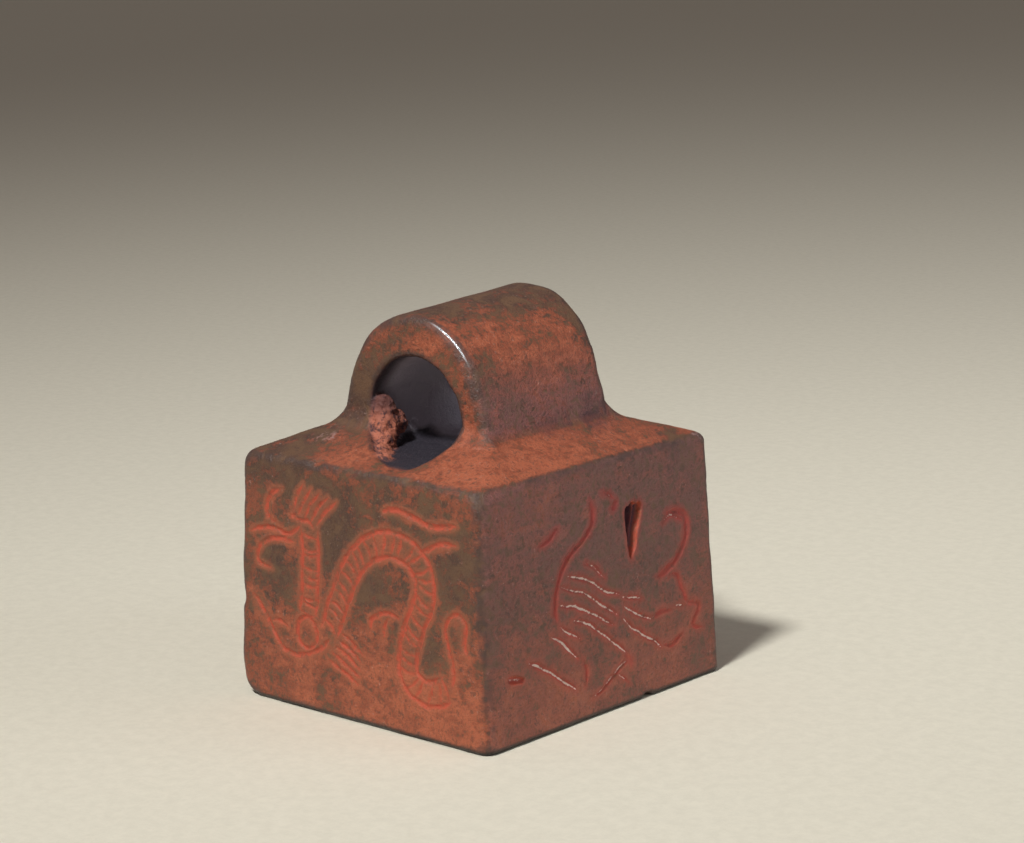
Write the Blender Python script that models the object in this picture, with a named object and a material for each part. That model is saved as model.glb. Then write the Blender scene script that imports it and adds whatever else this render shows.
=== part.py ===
# Small bronze seal: a square block with a low hipped top, an arched knob pierced for a cord,
# and four incised animals on its sides. It is one casting, so it is one solid.
# Metres, +Z up. The origin is at the bottom centre of the block, the front faces -Y.

import math

import bmesh
import bpy
from mathutils import Vector

MM = 0.001

# Block
BLOCK_WIDTH = 20.55 * MM
BLOCK_DEPTH = 21.45 * MM
BLOCK_HEIGHT = 15.0 * MM
SIDE_LEAN = 0.62 * MM
END_LEAN = 0.46 * MM
TOP_EDGE_ROUND = 0.38 * MM
FOOT_EDGE_ROUND = 0.24 * MM
# The back right, back left, front left and front right uprights, the last worn most
UPRIGHT_ROUNDS = (0.42 * MM, 0.55 * MM, 0.62 * MM, 0.80 * MM)
CORNER_WEARS = (0.03 * MM, 0.20 * MM, 0.12 * MM, 0.40 * MM)
UNWORN = (0.0, 0.0, 0.0, 0.0)
WEAR_POWER = 5

# Knob, its heights measured above the block's upper edge
FOOT_RISE = 1.60 * MM
KNOB_SHIFT = 0.10 * MM
KNOB_FRONT = 5.58 * MM
KNOB_BACK = 5.56 * MM
CROWN_RADIUS = 5.34 * MM
CROWN_CENTRE = 3.10 * MM
SIDE_SPLAY = math.radians(18.5)
RIDGE_RISE = 0.68 * MM
RIM_ROUND = 0.66 * MM
END_FILLET = 1.00 * MM

# Cord hole, which also cuts a shallow trench in the slopes before and behind the knob.
# The front trench is cut off aslant, from beside the mouth to the right front.
HOLE_RADIUS = 3.65 * MM
HOLE_SHIFT = 0.30 * MM
HOLE_CENTRE = 2.30 * MM
HOLE_FLOOR = 0.30 * MM
TRENCH_LEFT = -3.50 * MM
TRENCH_SLANT = 0.79

# Crust in the mouth of the hole and on the slope before it: inward from the left wall,
# back from the mouth, up from the floor, and radius, all in millimetres
DEPOSIT_LUMPS = (
    (0.35, 0.80, 2.30, 0.70),
    (0.50, 0.70, 1.55, 0.85),
    (0.70, 0.38, 0.80, 0.90),
    (1.15, -0.32, 0.15, 0.85),
    (2.15, -1.32, -0.05, 0.70),
    (3.25, -2.32, -0.10, 0.55),
    (0.35, 1.60, 1.20, 0.85),
)
DEPOSIT_RIPPLE = 0.07
RIPPLES_PER_METRE = 2600.0
RIPPLE_SKEW = 1.7
RIPPLE_SHIFT = 3.1

# Incised lines
LINE_WIDTH = 0.42 * MM
LINE_DEPTH = 0.24 * MM
LINE_STEP = 0.55 * MM
FAINT_DEPTH = 0.15 * MM
GASH_WIDTH = 1.25 * MM
GASH_DEPTH = 0.90 * MM
MARK_WIDTH = 0.80 * MM
MARK_DEPTH = 0.50 * MM
CUTTER_LIFT = 0.20 * MM

# How far hidden ends of a shape run into, or past, what it joins or cuts
OVERLAP = 1.0 * MM
SINK = 0.05 * MM

# The animals are drawn on a grid of this many squares for the width and height of a face
GRID_FRONT = 20.55
GRID_SIDE = 21.45
GRID_HEIGHT = 15.0

# The stamping face, on the same grid
STAMP_BORDER = 8.3
STAMP_REACH = 7.6
STAMP_COLUMNS = (-5.6, 5.6)
STAMP_ROWS = 6
STAMP_FIRST_ROW = -6.5
STAMP_ROW_GAP = 2.6
STAMP_HALF_LONG = 1.9
STAMP_HALF_SHORT = 1.2
STAMP_UPRIGHT_ROW = 6.2
STAMP_UPRIGHT_GAP = 1.4
STAMP_UPRIGHT_HALF = 1.5

# How much of a band's half width its cross ticks take up, and the points on an oval
TICK_SHARE = 0.7
OVAL_STEPS = 12

CORNER_STEPS = 4
EDGE_STEPS = 6
ROUND_STEPS = 3
ARCH_STEPS = 20
HOLE_STEPS = 28
FILLET_STEPS = 4

BRONZE_COLOUR = (0.16, 0.055, 0.035, 1.0)
BRONZE_METALLIC = 0.35
BRONZE_ROUGHNESS = 0.55


def clear_scene():
    for old in list(bpy.data.objects):
        bpy.data.objects.remove(old, do_unlink=True)


def new_collection(name):
    collection = bpy.data.collections.new(name)
    bpy.context.scene.collection.children.link(collection)
    return collection


def bronze_material():
    material = bpy.data.materials.new("bronze")
    material.use_nodes = True
    shader = material.node_tree.nodes["Principled BSDF"]
    shader.inputs["Base Color"].default_value = BRONZE_COLOUR
    shader.inputs["Metallic"].default_value = BRONZE_METALLIC
    shader.inputs["Roughness"].default_value = BRONZE_ROUGHNESS
    return material


def finish_object(name, bm, collection):
    bmesh.ops.recalc_face_normals(bm, faces=bm.faces)
    mesh = bpy.data.meshes.new(name)
    bm.to_mesh(mesh)
    bm.free()
    made = bpy.data.objects.new(name, mesh)
    collection.objects.link(made)
    return made


def mark_as_cutter(made):
    made.hide_render = True
    made.display_type = "WIRE"
    return made


def join_rings(bm, rings):
    # Rings of equal count, bridged one to the next and closed at both ends.
    for lower, upper in zip(rings, rings[1:]):
        edges = ring_edges(bm, lower) + ring_edges(bm, upper)
        bmesh.ops.bridge_loops(bm, edges=edges)
    bmesh.ops.contextual_create(bm, geom=rings[0])
    bmesh.ops.contextual_create(bm, geom=rings[-1])


def ring_edges(bm, ring):
    pairs = zip(ring, ring[1:] + ring[:1])
    return [bm.edges.get(pair) for pair in pairs]


def new_ring(bm, points):
    # A circle's vertices, moved onto the points of the wanted outline.
    ring = bmesh.ops.create_circle(bm, cap_ends=False, radius=BLOCK_WIDTH, segments=len(points))["verts"]
    for vertex, point in zip(ring, points):
        vertex.co = point
    return ring


def lean_at(height, lean):
    return lean * height / BLOCK_HEIGHT


def rounded_rectangle(half_width, half_depth, height, wears=UNWORN):
    points = []
    for quarter in range(4):
        radius = UPRIGHT_ROUNDS[quarter]
        sign_x = (1, -1, -1, 1)[quarter]
        sign_y = (1, 1, -1, -1)[quarter]
        centre = Vector((sign_x * (half_width - radius), sign_y * (half_depth - radius)))
        corner = []
        for step in range(CORNER_STEPS + 1):
            angle = math.radians(90.0) * (quarter + step / CORNER_STEPS)
            corner.append(centre + radius * Vector((math.cos(angle), math.sin(angle))))
        points.extend(corner)
    outline = []
    for index, point in enumerate(points):
        outline.append(point)
        after = points[(index + 1) % len(points)]
        if index % (CORNER_STEPS + 1) == CORNER_STEPS:
            for step in range(1, EDGE_STEPS):
                outline.append(point.lerp(after, step / EDGE_STEPS))
    ring = []
    for point in outline:
        cornerness = abs(point.x) / half_width * abs(point.y) / half_depth
        wear = wears[nearest_corner(point)] * cornerness ** WEAR_POWER
        ring.append(Vector((point.x, point.y, height - wear)))
    return ring


def nearest_corner(point):
    if point.y > 0:
        return 0 if point.x > 0 else 1
    return 2 if point.x < 0 else 3


def foot_half_width():
    tangent_x = CROWN_RADIUS * math.cos(SIDE_SPLAY)
    tangent_z = CROWN_CENTRE + CROWN_RADIUS * math.sin(SIDE_SPLAY)
    return tangent_x + (tangent_z - FOOT_RISE) * math.tan(SIDE_SPLAY)


def top_half_width():
    return BLOCK_WIDTH / 2 - SIDE_LEAN


def top_half_depth():
    return BLOCK_DEPTH / 2 - END_LEAN


def slope_angle(knob_end):
    return math.atan2(FOOT_RISE, top_half_depth() - knob_end)


def make_block(collection):
    bm = bmesh.new()
    rings = []
    for step in range(ROUND_STEPS + 1):
        angle = math.radians(90.0) * step / ROUND_STEPS
        inset = FOOT_EDGE_ROUND * (1 - math.sin(angle))
        height = FOOT_EDGE_ROUND * (1 - math.cos(angle))
        rings.append(block_ring(bm, inset, height))
    for step in range(ROUND_STEPS + 1):
        angle = math.radians(90.0) * step / ROUND_STEPS
        inset = TOP_EDGE_ROUND * (1 - math.cos(angle))
        height = BLOCK_HEIGHT - TOP_EDGE_ROUND * (1 - math.sin(angle))
        rings.append(block_ring(bm, inset, height, CORNER_WEARS))
    # The plateau lies inside the knob's foot, on the same four slopes.
    half_width = foot_half_width() - OVERLAP
    half_depth = min(KNOB_FRONT, KNOB_BACK) - OVERLAP
    rise = FOOT_RISE * (1 + OVERLAP / (top_half_width() - foot_half_width()))
    plateau = rounded_rectangle(half_width, half_depth, BLOCK_HEIGHT + rise)
    rings.append(new_ring(bm, plateau))
    join_rings(bm, rings)
    return finish_object("seal", bm, collection)


def block_ring(bm, inset, height, wears=UNWORN):
    half_width = BLOCK_WIDTH / 2 - lean_at(height, SIDE_LEAN) - inset
    half_depth = BLOCK_DEPTH / 2 - lean_at(height, END_LEAN) - inset
    return new_ring(bm, rounded_rectangle(half_width, half_depth, height, wears))


def arch_outline(inset, along):
    # Seen from the front: splayed sides running down into the block, and a round crown.
    lift = RIDGE_RISE * (along + KNOB_FRONT) / (KNOB_FRONT + KNOB_BACK)
    side_inset = inset / math.cos(SIDE_SPLAY)
    half_bottom = foot_half_width() + (FOOT_RISE + OVERLAP) * math.tan(SIDE_SPLAY) - side_inset
    sweep = math.pi - 2 * SIDE_SPLAY
    points = [Vector((KNOB_SHIFT + half_bottom, along, BLOCK_HEIGHT - OVERLAP))]
    for step in range(ARCH_STEPS + 1):
        angle = SIDE_SPLAY + sweep * step / ARCH_STEPS
        across = KNOB_SHIFT + (CROWN_RADIUS - inset) * math.cos(angle)
        height = CROWN_CENTRE + (CROWN_RADIUS - inset) * math.sin(angle)
        share = height / (CROWN_CENTRE + CROWN_RADIUS)
        points.append(Vector((across, along, BLOCK_HEIGHT + height + lift * share)))
    points.append(Vector((KNOB_SHIFT - half_bottom, along, BLOCK_HEIGHT - OVERLAP)))
    return points


def make_knob(collection):
    bm = bmesh.new()
    rings = []
    for step in range(ROUND_STEPS + 1):
        angle = math.radians(90.0) * step / ROUND_STEPS
        inset = RIM_ROUND * (1 - math.sin(angle))
        back_off = RIM_ROUND * (1 - math.cos(angle))
        rings.append(new_ring(bm, arch_outline(inset, back_off - KNOB_FRONT)))
    for step in reversed(range(ROUND_STEPS + 1)):
        angle = math.radians(90.0) * step / ROUND_STEPS
        inset = RIM_ROUND * (1 - math.sin(angle))
        back_off = RIM_ROUND * (1 - math.cos(angle))
        rings.append(new_ring(bm, arch_outline(inset, KNOB_BACK - back_off)))
    join_rings(bm, rings)
    return mark_as_cutter(finish_object("knob", bm, collection))


def fillet_outline(knob_end, side, across):
    # Seen from the side: the hollow between an upright end of the knob and the slope at its foot.
    slope = slope_angle(knob_end)
    centre_y = knob_end + END_FILLET
    slope_z = BLOCK_HEIGHT + FOOT_RISE - END_FILLET * math.tan(slope) - SINK
    centre_z = slope_z + END_FILLET / math.cos(slope)
    points = []
    for step in range(FILLET_STEPS + 1):
        angle = (math.pi / 2 - slope) * step / FILLET_STEPS
        along = centre_y - END_FILLET * math.cos(angle)
        height = centre_z - END_FILLET * math.sin(angle)
        points.append(Vector((across, side * along, height)))
    points.append(Vector((across, side * along, BLOCK_HEIGHT - OVERLAP)))
    points.append(Vector((across, side * (knob_end - OVERLAP), BLOCK_HEIGHT - OVERLAP)))
    points.append(Vector((across, side * (knob_end - OVERLAP), points[0].z)))
    return points


def make_fillets(collection):
    made = []
    half = foot_half_width() - RIM_ROUND
    for name, knob_end, side in (("front_fillet", KNOB_FRONT, -1), ("back_fillet", KNOB_BACK, 1)):
        bm = bmesh.new()
        sides = (KNOB_SHIFT - half, KNOB_SHIFT + half)
        rings = [new_ring(bm, fillet_outline(knob_end, side, across)) for across in sides]
        join_rings(bm, rings)
        made.append(mark_as_cutter(finish_object(name, bm, collection)))
    return made


def make_hole(collection):
    # A round hole with a flat floor, longer than the block.
    bm = bmesh.new()
    drop = math.asin((HOLE_CENTRE - HOLE_FLOOR) / HOLE_RADIUS)
    sweep = math.pi + 2 * drop
    rings = []
    for side in (-1, 1):
        points = []
        for step in range(HOLE_STEPS + 1):
            angle = -drop + sweep * step / HOLE_STEPS
            across = HOLE_SHIFT + HOLE_RADIUS * math.cos(angle)
            height = BLOCK_HEIGHT + HOLE_CENTRE + HOLE_RADIUS * math.sin(angle)
            along = BLOCK_DEPTH / 2 + OVERLAP
            if side < 0:
                along = -KNOB_FRONT - TRENCH_SLANT * (across - TRENCH_LEFT)
            points.append(Vector((across, along, height)))
        rings.append(new_ring(bm, points))
    join_rings(bm, rings)
    return mark_as_cutter(finish_object("cord_hole", bm, collection))


def make_deposit(collection):
    # Crusty lumps fused to the left wall of the hole's mouth.
    wall = HOLE_SHIFT - HOLE_RADIUS
    floor = BLOCK_HEIGHT + HOLE_FLOOR
    made = []
    for index, (inward, back, up, radius) in enumerate(DEPOSIT_LUMPS):
        bm = bmesh.new()
        bmesh.ops.create_icosphere(bm, subdivisions=2, radius=radius * MM)
        centre = Vector((wall + inward * MM, back * MM - KNOB_FRONT, floor + up * MM))
        for vertex in bm.verts:
            turn = RIPPLES_PER_METRE * (vertex.co.x + RIPPLE_SKEW * vertex.co.z)
            ripple = 1 + DEPOSIT_RIPPLE * math.sin(RIPPLE_SHIFT * index + turn)
            vertex.co = vertex.co * ripple + centre
        made.append(mark_as_cutter(finish_object("deposit_" + str(index + 1), bm, collection)))
    return made


def smooth_path(points, step):
    # A Catmull-Rom curve through the points, with about one vertex a step.
    knots = [Vector(point) for point in points]
    path = []
    for index in range(len(knots) - 1):
        start = knots[index]
        end = knots[index + 1]
        before = knots[max(index - 1, 0)]
        after = knots[min(index + 2, len(knots) - 1)]
        count = max(1, round((end - start).length / step))
        for part in range(count):
            t = part / count
            first = (end - before) * t
            second = (2 * before - 5 * start + 4 * end - after) * t ** 2
            third = (3 * start - before - 3 * end + after) * t ** 3
            path.append(start + 0.5 * (first + second + third))
    path.append(knots[-1])
    return path


def path_normals(path):
    normals = []
    for index in range(len(path)):
        before = path[max(index - 1, 0)]
        after = path[min(index + 1, len(path) - 1)]
        along = (after - before).normalized()
        normals.append(Vector((-along.y, along.x)))
    return normals


class Face:
    # A flat side of the block, with the animals' grid laid on it.
    def __init__(self, origin, across, upward, outward, scale_across, scale_up):
        self.origin = Vector(origin)
        self.across = Vector(across)
        self.upward = Vector(upward)
        self.outward = Vector(outward)
        self.scale_across = scale_across
        self.scale_up = scale_up

    def flat(self, point):
        return Vector((point[0] * self.scale_across, point[1] * self.scale_up))

    def place(self, flat, out):
        return self.origin + flat.x * self.across + flat.y * self.upward + out * self.outward


def front_face():
    lean = END_LEAN / BLOCK_HEIGHT
    return Face((0, -BLOCK_DEPTH / 2, 0), (1, 0, 0), (0, lean, 1), (0, -1, 0),
                BLOCK_WIDTH / GRID_FRONT, BLOCK_HEIGHT / GRID_HEIGHT)


def back_face():
    lean = END_LEAN / BLOCK_HEIGHT
    return Face((0, BLOCK_DEPTH / 2, 0), (-1, 0, 0), (0, -lean, 1), (0, 1, 0),
                BLOCK_WIDTH / GRID_FRONT, BLOCK_HEIGHT / GRID_HEIGHT)


def right_face():
    lean = SIDE_LEAN / BLOCK_HEIGHT
    return Face((BLOCK_WIDTH / 2, 0, 0), (0, 1, 0), (-lean, 0, 1), (1, 0, 0),
                BLOCK_DEPTH / GRID_SIDE, BLOCK_HEIGHT / GRID_HEIGHT)


def left_face():
    lean = SIDE_LEAN / BLOCK_HEIGHT
    return Face((-BLOCK_WIDTH / 2, 0, 0), (0, -1, 0), (lean, 0, 1), (-1, 0, 0),
                BLOCK_DEPTH / GRID_SIDE, BLOCK_HEIGHT / GRID_HEIGHT)


def under_face():
    return Face((0, 0, 0), (1, 0, 0), (0, -1, 0), (0, 0, -1),
                BLOCK_WIDTH / GRID_FRONT, BLOCK_DEPTH / GRID_FRONT)


def cut_line(bm, face, points, width=LINE_WIDTH, depth=LINE_DEPTH, ends=(0.45, 0.45)):
    # A V-shaped groove along a smooth line, narrower and shallower towards its two ends.
    path = smooth_path([face.flat(point) for point in points], LINE_STEP)
    rings = []
    last = len(path) - 1
    for index, (spot, normal) in enumerate(zip(path, path_normals(path))):
        share = 1.0
        if index == 0:
            share = ends[0]
        if index == last:
            share = ends[1]
        deep = depth * share
        half = width / 2 * share * (deep + CUTTER_LIFT) / deep
        corners = [
            face.place(spot + half * normal, CUTTER_LIFT),
            face.place(spot - half * normal, CUTTER_LIFT),
            face.place(spot, -deep),
        ]
        rings.append(new_ring(bm, corners))
    join_rings(bm, rings)


def cut_band(bm, face, centre, half_width, tick_gap, slant=0.0):
    # Two parallel lines along a winding body, with short cross ticks between them.
    path = smooth_path(centre, LINE_STEP / MM)
    normals = path_normals(path)
    for side in (-1, 1):
        rail = [spot + side * half_width * normal for spot, normal in zip(path, normals)]
        cut_line(bm, face, rail[::2] + rail[-1:])
    run = 0.0
    due = tick_gap
    for index in range(1, len(path)):
        run += (path[index] - path[index - 1]).length
        if run >= due:
            due += tick_gap
            along = (path[index] - path[index - 1]).normalized()
            lean = slant * along
            reach = TICK_SHARE * half_width * normals[index] + lean
            start = path[index] - reach
            end = path[index] + reach
            cut_line(bm, face, [start, end])


def cut_fan(bm, face, first, last, count, depth=LINE_DEPTH):
    # Lines spread evenly between a first and a last one.
    for index in range(count):
        share = index / (count - 1)
        line = [Vector(a).lerp(Vector(b), share) for a, b in zip(first, last)]
        cut_line(bm, face, line, depth=depth)


def cut_oval(bm, face, centre, half_across, half_up):
    points = []
    for step in range(OVAL_STEPS + 1):
        angle = 2 * math.pi * (step + 0.25) / OVAL_STEPS
        points.append((centre[0] + half_across * math.cos(angle), centre[1] + half_up * math.sin(angle)))
    cut_line(bm, face, points, ends=(1.0, 1.0))


def draw_dragon(bm):
    face = front_face()
    # Snout, jaw, whisker and the crest that streams back from the brow
    cut_line(bm, face, [(-9.1, 10.3), (-8.2, 10.6), (-7.0, 10.65), (-5.8, 10.45), (-5.1, 10.9)])
    cut_line(bm, face, [(-5.6, 10.05), (-7.1, 10.0), (-8.1, 9.7), (-8.6, 9.0), (-8.4, 8.3), (-7.4, 8.15)])
    cut_line(bm, face, [(-6.5, 13.2), (-7.3, 12.8), (-7.75, 12.1), (-7.7, 11.4), (-7.0, 11.1)])
    crest_from = [(-5.5, 11.6), (-5.2, 12.6), (-4.6, 13.7)]
    crest_to = [(-3.7, 11.2), (-3.0, 12.1), (-2.0, 12.9)]
    cut_fan(bm, face, crest_from, crest_to, 5)
    # Neck, shoulder and breast
    cut_band(bm, face, [(-4.2, 11.0), (-4.2, 9.2), (-4.2, 7.4), (-4.3, 5.9)], 0.68, 0.62)
    cut_oval(bm, face, (-4.45, 4.75), 0.85, 0.95)
    breast = [(-9.0, 6.4), (-8.1, 5.4), (-7.2, 4.5), (-6.6, 3.6), (-5.6, 3.3), (-4.2, 3.5), (-2.8, 4.3)]
    cut_line(bm, face, breast)
    cut_line(bm, face, [(-7.3, 5.0), (-6.7, 5.1), (-6.0, 4.8)])
    # Body and tail
    body = [(-2.6, 5.0), (-2.0, 6.5), (-1.4, 7.9), (-0.7, 9.2), (0.2, 10.2), (1.4, 10.9), (2.8, 11.1),
            (4.1, 10.7), (5.0, 9.7), (5.1, 8.4), (4.6, 7.2), (4.1, 6.0), (3.8, 4.8), (3.9, 3.7),
            (4.7, 3.0), (5.8, 2.9), (6.9, 3.4)]
    cut_band(bm, face, body, 0.72, 0.80, slant=0.15)
    cut_line(bm, face, [(7.3, 3.6), (7.3, 4.7), (6.9, 5.8), (6.8, 7.0), (7.3, 7.7), (8.1, 7.6), (8.3, 6.7),
                        (8.1, 5.9), (8.6, 5.5)])
    # Claws
    cut_fan(bm, face, [(-1.6, 5.2), (-0.8, 4.8), (0.2, 4.1)], [(-2.6, 3.5), (-1.4, 2.9), (-0.1, 2.3)], 5)
    cut_line(bm, face, [(3.1, 6.9), (1.8, 7.0), (0.9, 6.5), (0.75, 5.7)])
    cut_line(bm, face, [(2.3, 6.8), (1.95, 6.2), (1.95, 5.5)])
    cut_line(bm, face, [(2.0, 13.0), (3.4, 13.2), (4.6, 12.75), (6.0, 12.65), (7.5, 12.9)])
    cut_line(bm, face, [(5.4, 11.0), (6.2, 11.7), (7.5, 11.75)])


def draw_tiger(bm):
    face = right_face()
    # Neck and breast, and the deep gash beside them
    cut_line(bm, face, [(-0.9, 12.9), (-0.8, 11.9), (-1.1, 11.1), (-2.3, 10.4), (-3.4, 9.6), (-4.1, 8.4),
                        (-4.3, 7.2), (-4.1, 6.2)])
    cut_line(bm, face, [(0.1, 13.1), (0.7, 12.95), (1.3, 12.5)])
    cut_line(bm, face, [(-5.5, 11.0), (-4.7, 11.3), (-3.9, 11.8)])
    cut_line(bm, face, [(2.95, 11.9), (2.8, 10.4), (2.6, 8.8)], GASH_WIDTH, GASH_DEPTH, (0.75, 0.30))
    # Stripes across the flank
    cut_fan(bm, face, [(-3.1, 8.85), (-1.4, 8.3), (-0.1, 7.5), (1.3, 6.8)],
            [(-3.9, 7.25), (-2.2, 6.8), (-0.6, 6.0), (0.9, 5.1)], 3)
    cut_line(bm, face, [(-1.6, 9.3), (-0.6, 8.75), (0.2, 8.0)])
    cut_line(bm, face, [(-2.8, 6.2), (-1.2, 5.5), (0.2, 4.5), (1.8, 3.3)])
    cut_line(bm, face, [(-3.9, 6.1), (-3.2, 5.6), (-2.3, 5.0)])
    cut_line(bm, face, [(-4.7, 5.7), (-3.8, 5.1), (-3.0, 4.4), (-2.3, 3.8)])
    cut_line(bm, face, [(1.7, 6.6), (2.6, 6.4), (3.6, 6.1)])
    cut_line(bm, face, [(1.9, 6.0), (3.0, 5.3), (4.3, 4.7)])
    cut_line(bm, face, [(1.8, 5.3), (2.6, 4.55), (3.8, 3.8), (5.3, 2.8)])
    # Legs
    cut_line(bm, face, [(-6.8, 4.6), (-5.7, 4.1), (-4.3, 3.25), (-2.7, 2.1)])
    cut_line(bm, face, [(-8.2, 4.0), (-7.5, 3.7)], MARK_WIDTH, MARK_DEPTH)
    cut_line(bm, face, [(-2.1, 3.7), (-1.7, 2.9), (-1.9, 2.1)])
    cut_line(bm, face, [(-1.1, 1.2), (0.3, 1.8), (1.5, 2.6), (2.3, 2.7)])
    cut_line(bm, face, [(1.2, 2.0), (2.1, 1.4)])
    cut_line(bm, face, [(4.4, 4.75), (5.3, 4.95), (6.2, 4.75)])
    cut_line(bm, face, [(5.4, 2.9), (6.3, 2.75), (7.4, 3.2)])
    # Rump and tail
    cut_line(bm, face, [(6.2, 7.0), (7.1, 6.6), (7.5, 5.6), (8.3, 4.9), (9.0, 4.5), (8.4, 3.7), (9.2, 3.1)])
    tail = [(6.1, 10.8), (7.2, 10.65), (8.0, 10.0), (7.9, 9.0), (7.3, 8.2), (6.3, 7.5), (5.1, 7.1)]
    cut_line(bm, face, tail)


def draw_bird(bm):
    # The plainer bird on the hidden left side
    face = left_face()
    back = [(-7.2, 10.6), (-6.0, 11.4), (-4.8, 10.8), (-4.6, 9.2), (-3.6, 7.4), (-1.0, 6.2), (2.0, 6.4)]
    breast = [(-7.2, 10.6), (-6.0, 10.0), (-5.9, 8.4), (-5.0, 6.2), (-3.0, 4.6), (0.4, 4.4), (2.6, 5.4)]
    cut_line(bm, face, back)
    cut_line(bm, face, breast)
    cut_fan(bm, face, [(-2.2, 6.6), (-0.4, 9.0), (2.6, 11.6)], [(0.2, 6.3), (2.2, 7.6), (4.6, 9.4)], 4)
    cut_fan(bm, face, [(2.2, 6.3), (5.2, 8.2), (8.2, 7.6)], [(2.6, 5.5), (5.0, 4.4), (7.4, 2.6)], 4)
    for foot in (-2.0, 0.0):
        cut_line(bm, face, [(foot, 4.5), (foot - 0.4, 3.0), (foot - 1.2, 2.0)])


def draw_tortoise(bm):
    # The plainer tortoise on the hidden back
    face = back_face()
    cut_oval(bm, face, (0.0, 7.2), 4.6, 3.3)
    across = ([(-3.8, 7.6), (-0.3, 8.3), (3.7, 7.7)], [(-3.8, 6.4), (0.2, 5.9), (3.8, 6.3)])
    cut_fan(bm, face, across[0], across[1], 2, FAINT_DEPTH)
    cut_fan(bm, face, [(-1.5, 9.4), (-2.0, 7.2), (-1.6, 5.1)], [(1.7, 9.5), (2.1, 7.0), (1.5, 5.2)], 3)
    cut_line(bm, face, [(-4.8, 7.8), (-6.0, 8.8), (-7.4, 8.9), (-7.6, 8.0), (-6.2, 7.4), (-4.9, 6.9)])
    cut_line(bm, face, [(4.9, 7.0), (6.3, 6.2), (7.4, 7.2), (6.9, 8.4)])
    for side in (-1, 1):
        cut_line(bm, face, [(side * 2.8, 4.3), (side * 3.5, 3.0), (side * 4.6, 2.3)])


def draw_stamp(bm):
    # Rows of short strokes inside a border open at its corners, and a bare patch at the centre
    face = under_face()
    for side in (-STAMP_BORDER, STAMP_BORDER):
        cut_line(bm, face, [(side, -STAMP_REACH), (side, STAMP_REACH)])
        cut_line(bm, face, [(-STAMP_REACH, side), (STAMP_REACH, side)])
    for column in STAMP_COLUMNS:
        for row in range(STAMP_ROWS):
            height = STAMP_FIRST_ROW + STAMP_ROW_GAP * row
            half = (STAMP_HALF_LONG, STAMP_HALF_SHORT)[row % 2]
            cut_line(bm, face, [(column - half, height), (column + half, height)])
    for row in (-STAMP_UPRIGHT_ROW, STAMP_UPRIGHT_ROW):
        for across in (-STAMP_UPRIGHT_GAP, 0.0, STAMP_UPRIGHT_GAP):
            cut_line(bm, face, [(across, row - STAMP_UPRIGHT_HALF), (across, row + STAMP_UPRIGHT_HALF)])


def make_carving(collection):
    bm = bmesh.new()
    for draw in (draw_dragon, draw_tiger, draw_bird, draw_tortoise, draw_stamp):
        draw(bm)
    return mark_as_cutter(finish_object("carving", bm, collection))


def add_boolean(target, tool, operation):
    modifier = target.modifiers.new(tool.name, "BOOLEAN")
    modifier.operation = operation
    modifier.solver = "EXACT"
    modifier.use_self = operation == "DIFFERENCE"
    modifier.object = tool


def main():
    clear_scene()
    parts = new_collection("bronze_seal")
    cutters = new_collection("cutters")
    seal = make_block(parts)
    seal.data.materials.append(bronze_material())
    add_boolean(seal, make_knob(cutters), "UNION")
    for fillet in make_fillets(cutters):
        add_boolean(seal, fillet, "UNION")
    add_boolean(seal, make_hole(cutters), "DIFFERENCE")
    for lump in make_deposit(cutters):
        add_boolean(seal, lump, "UNION")
    add_boolean(seal, make_carving(cutters), "DIFFERENCE")


main()
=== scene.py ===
import math

import bmesh
import bpy
import numpy as np
from mathutils import Matrix, Vector, kdtree, noise


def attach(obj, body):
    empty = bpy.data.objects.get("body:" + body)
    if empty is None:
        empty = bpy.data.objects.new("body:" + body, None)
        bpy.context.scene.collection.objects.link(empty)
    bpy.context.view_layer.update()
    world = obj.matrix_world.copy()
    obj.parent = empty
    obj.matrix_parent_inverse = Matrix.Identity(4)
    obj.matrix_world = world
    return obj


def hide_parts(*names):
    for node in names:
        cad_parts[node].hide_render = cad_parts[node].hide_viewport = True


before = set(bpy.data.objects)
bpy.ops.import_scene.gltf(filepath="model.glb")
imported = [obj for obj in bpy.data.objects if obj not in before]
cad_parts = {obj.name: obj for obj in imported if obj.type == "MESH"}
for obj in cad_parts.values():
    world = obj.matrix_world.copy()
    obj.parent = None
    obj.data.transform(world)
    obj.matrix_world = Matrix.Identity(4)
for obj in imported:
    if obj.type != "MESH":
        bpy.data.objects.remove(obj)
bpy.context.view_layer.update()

mm = 0.001
print("frame loaded")

# Everything on the seal is worked out in millimetres and brought to metres at the end.
blockShape = {
    "width": 20.55,
    "depth": 21.45,
    "height": 15.0,
    "sideLean": 0.62,       # how far the left and right faces lean in by their top edge
    "endLean": 0.46,
    # rounding of each upright edge, and how far its top corner is worn down
    "frontLeft": (0.62, 0.12),
    "frontRight": (0.80, 0.40),
    "backRight": (0.42, 0.03),
    "backLeft": (0.55, 0.20),
    "topRound": 0.36,
    "footRound": 0.22,
    "footRise": 1.60,       # rise of the four slopes from the edge to the knob's foot
    "hipRound": 0.30,
    "wearPower": 5,         # a higher power keeps the wear closer to the corner
    "wearRound": 0.8,       # extra rounding for each millimetre of wear
    "leftFootWear": (0.75, 0.70),      # of the front left foot: its upright edge, its underside edge
}
waviness = {
    # share of the rounding that comes and goes, length of the waves, phase
    "upright": (0.20, 4.6, 1.0),
    "top": (0.30, 3.4, 2.0),
    "foot": (0.35, 5.2, 0.4),
    "rim": (0.28, 3.9, 3.0),
}
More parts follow.
